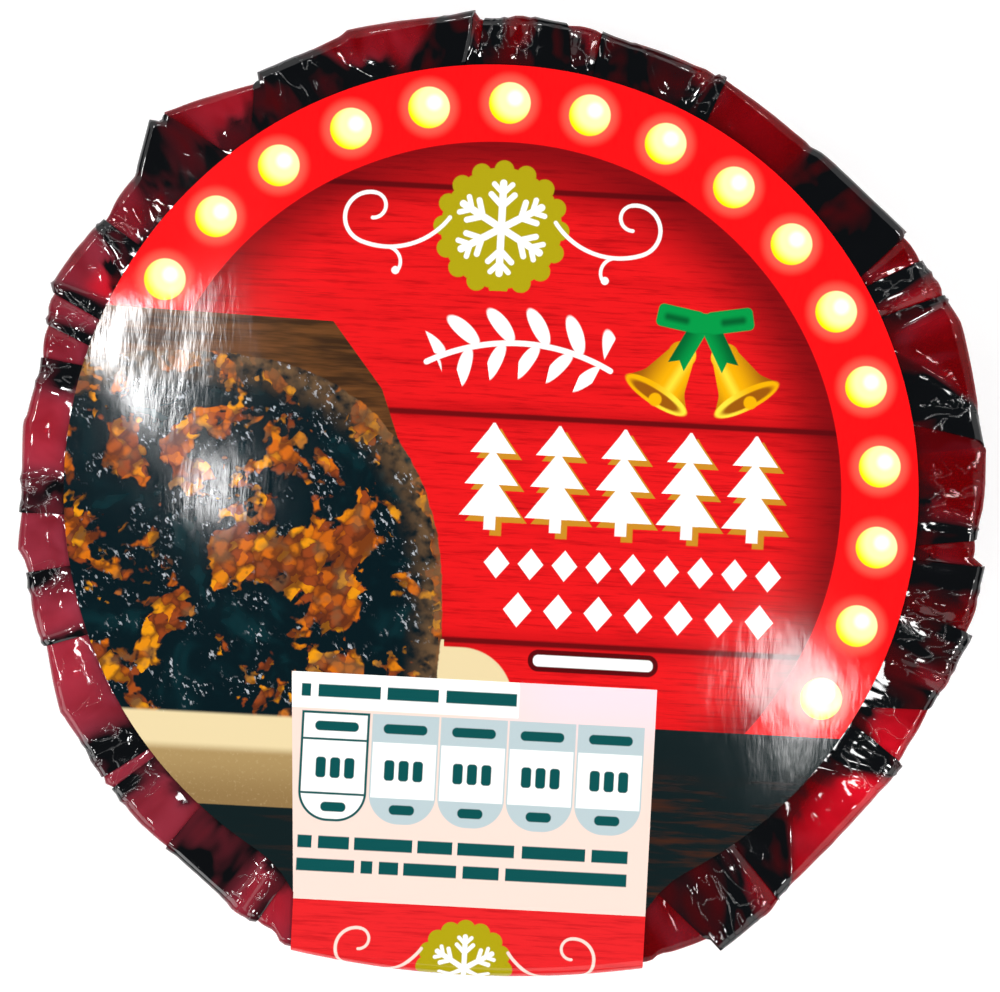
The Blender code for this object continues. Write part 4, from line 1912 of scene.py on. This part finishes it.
    def build(self) -> bpy.types.Object:
        """Build the paper as a thin closed sheet with its flat places written on it.

        Returns:
            The finished label.
        """
        sheet = bmesh.new()
        sheet.verts.layers.float_vector.new("sheet")
        self.tail(sheet, self.disc(sheet))
        for point, across_cut in self.layout.cuts():
            everything = list(sheet.verts) + list(sheet.edges) + list(sheet.faces)
            bmesh.ops.bisect_plane(sheet, geom=everything, dist=1e-7,
                                   plane_co=(point[0] * MM, point[1] * MM, 0.0),
                                   plane_no=(*across_cut, 0.0))
        mesh = bpy.data.meshes.new("paper_label")
        sheet.to_mesh(mesh)
        sheet.free()
        label = link(bpy.data.objects.new("paper_label", mesh))
        inks = PrintColours()
        for zone in Zone:
            mesh.materials.append(LabelPrint(zone, inks, self.layout).material())
        paper = label.modifiers.new("paper", "SOLIDIFY")
        paper.thickness = self.thickness
        paper.offset = 1.0
        paper.use_even_offset = True
        return self.share_out(settle(label, 40.0))

    def share_out(self, label: bpy.types.Object) -> bpy.types.Object:
        """Give each face of the print its field's material, and the back and the edges plain paper.

        Args:
            label: The paper, with all materials in its slots.

        Returns:
            The same object.
        """
        mesh = label.data
        order = list(Zone)
        flat = mesh.attributes["sheet"].data
        for polygon in mesh.polygons:
            points = [tuple(flat[i].vector)[:2] for i in polygon.vertices]
            on_tail = max(y for _, y in points) < self.layout.tail_top
            front = polygon.normal.z > 0.5 or (on_tail and polygon.normal.y < -0.5)
            zone = self.layout.zone(points) if front else Zone.BACK
            polygon.material_index = order.index(zone)
        return label


# ---- The room ----

@dataclass
class Studio:
    """Plain pale floor, soft lamps round the sides and a few small ones near the camera."""

    camera_height: float = 0.34
    sensor: float = 36.0
    shown_width: float = 86.9 * MM
    roll: float = math.radians(3.0)
    off_right: float = 0.78 * MM
    off_down: float = 0.35 * MM
    floor_half: float = 1.6
    floor_low: float = -0.1 * MM
    aim: Vector = field(default_factory=lambda: Vector((0.0, 0.0, 0.03)))    # what the lamps face
    soft_out: float = 0.74
    soft_high: float = 0.54
    spark_high: float = 0.36
    spark_size: float = 0.024
    glare_high: float = 0.34
    sky: float = 0.06

    def floor(self) -> None:
        """Lay the floor."""
        mesh = bpy.data.meshes.new("floor")
        mesh.from_pydata([(x * self.floor_half, y * self.floor_half, self.floor_low)
                          for x, y in ((-1.0, -1.0), (1.0, -1.0), (1.0, 1.0), (-1.0, 1.0))],
                         [], [(0, 1, 2, 3)])
        floor = link(bpy.data.objects.new("floor", mesh))
        mesh.materials.append(FloorFinish().material())

    def lamp(self, name: str, place: tuple[float, float, float], size: tuple[float, float],
             power: float) -> None:
        """Hang a rectangular lamp that faces the pack.

        Args:
            name: The lamp's name.
            place: Where it hangs.
            size: Its width and its height.
            power: Its power in watts.
        """
        data = bpy.data.lights.new(name, "AREA")
        data.shape = "RECTANGLE"
        data.energy, data.size, data.size_y = power, size[0], size[1]
        lamp = link(bpy.data.objects.new(name, data))
        lamp.location = place
        lamp.rotation_euler = (self.aim - Vector(place)).to_track_quat("-Z", "Y").to_euler()

    def lights(self) -> None:
        """Hang all the lamps and set the sky."""
        # each row: the way round in degrees, the lamp's size or how far out it hangs, and its power
        for i, (angle, size, power) in enumerate(((35.0, 1.2, 3.2), (125.0, 1.2, 3.2), (215.0, 0.6, 3.8),
                                                  (305.0, 0.9, 3.4))):
            turn = math.radians(angle)
            self.lamp(f"soft_{i}", (self.soft_out * math.cos(turn), self.soft_out * math.sin(turn),
                                    self.soft_high), (size, size), power)
        for i, (angle, away, power) in enumerate((
                (2.0, 0.17, 0.05), (29.0, 0.18, 0.06), (64.0, 0.24, 0.05), (104.0, 0.28, 0.05),
                (133.0, 0.18, 0.05), (161.0, 0.22, 0.08), (184.0, 0.17, 0.07), (211.0, 0.19, 0.06),
                (243.0, 0.17, 0.05), (331.0, 0.16, 0.09), (346.0, 0.20, 0.12))):
            turn = math.radians(angle)
            self.lamp(f"spark_{i}", (away * math.cos(turn), away * math.sin(turn), self.spark_high),
                      (self.spark_size, self.spark_size), power)
        # each row: where it hangs, its two sizes and its power
        for i, (x, y, wide, high, power) in enumerate((
                (-0.0600, 0.022, 0.024, 0.009, 0.036), (0.052, -0.030, 0.014, 0.018, 0.018),
                (-0.049, 0.001, 0.010, 0.004, 0.0065))):
            self.lamp(f"glare_{i}", (x, y, self.glare_high), (wide, high), power)
        world = bpy.data.worlds.new("studio")
        world.use_nodes = True
        background = world.node_tree.nodes["Background"].inputs
        background["Color"].default_value = (1.0, 1.0, 1.0, 1.0)
        background["Strength"].default_value = self.sky
        bpy.context.scene.world = world
        bpy.context.scene.view_settings.view_transform = "Standard"

    def camera(self) -> None:
        """Hang the camera straight above, turned a little."""
        data = bpy.data.cameras.new("camera")
        data.sensor_width = self.sensor
        data.lens = self.sensor * (self.camera_height - PACK.top_z) / self.shown_width
        data.clip_start = 0.01
        camera = link(bpy.data.objects.new("camera", data))
        right = Vector((math.cos(self.roll), math.sin(self.roll), 0.0))
        up = Vector((-math.sin(self.roll), math.cos(self.roll), 0.0))
        camera.location = right * self.off_right - up * self.off_down + Vector((0.0, 0.0, self.camera_height))
        camera.rotation_euler = (0.0, 0.0, self.roll)
        bpy.context.scene.camera = camera


def main() -> None:
    """Build the pack in order and report each piece."""
    logging.basicConfig(level=logging.INFO, format="%(name)s: %(message)s")
    studio = Studio()
    studio.camera()
    studio.floor()
    studio.lights()
    report(Basin().build(), "root")
    report(FilmWrap().build(), "root", ("film_wrap",))
    report(Label().build(), "root", ("label",))


if __name__ == "__main__":
    main()
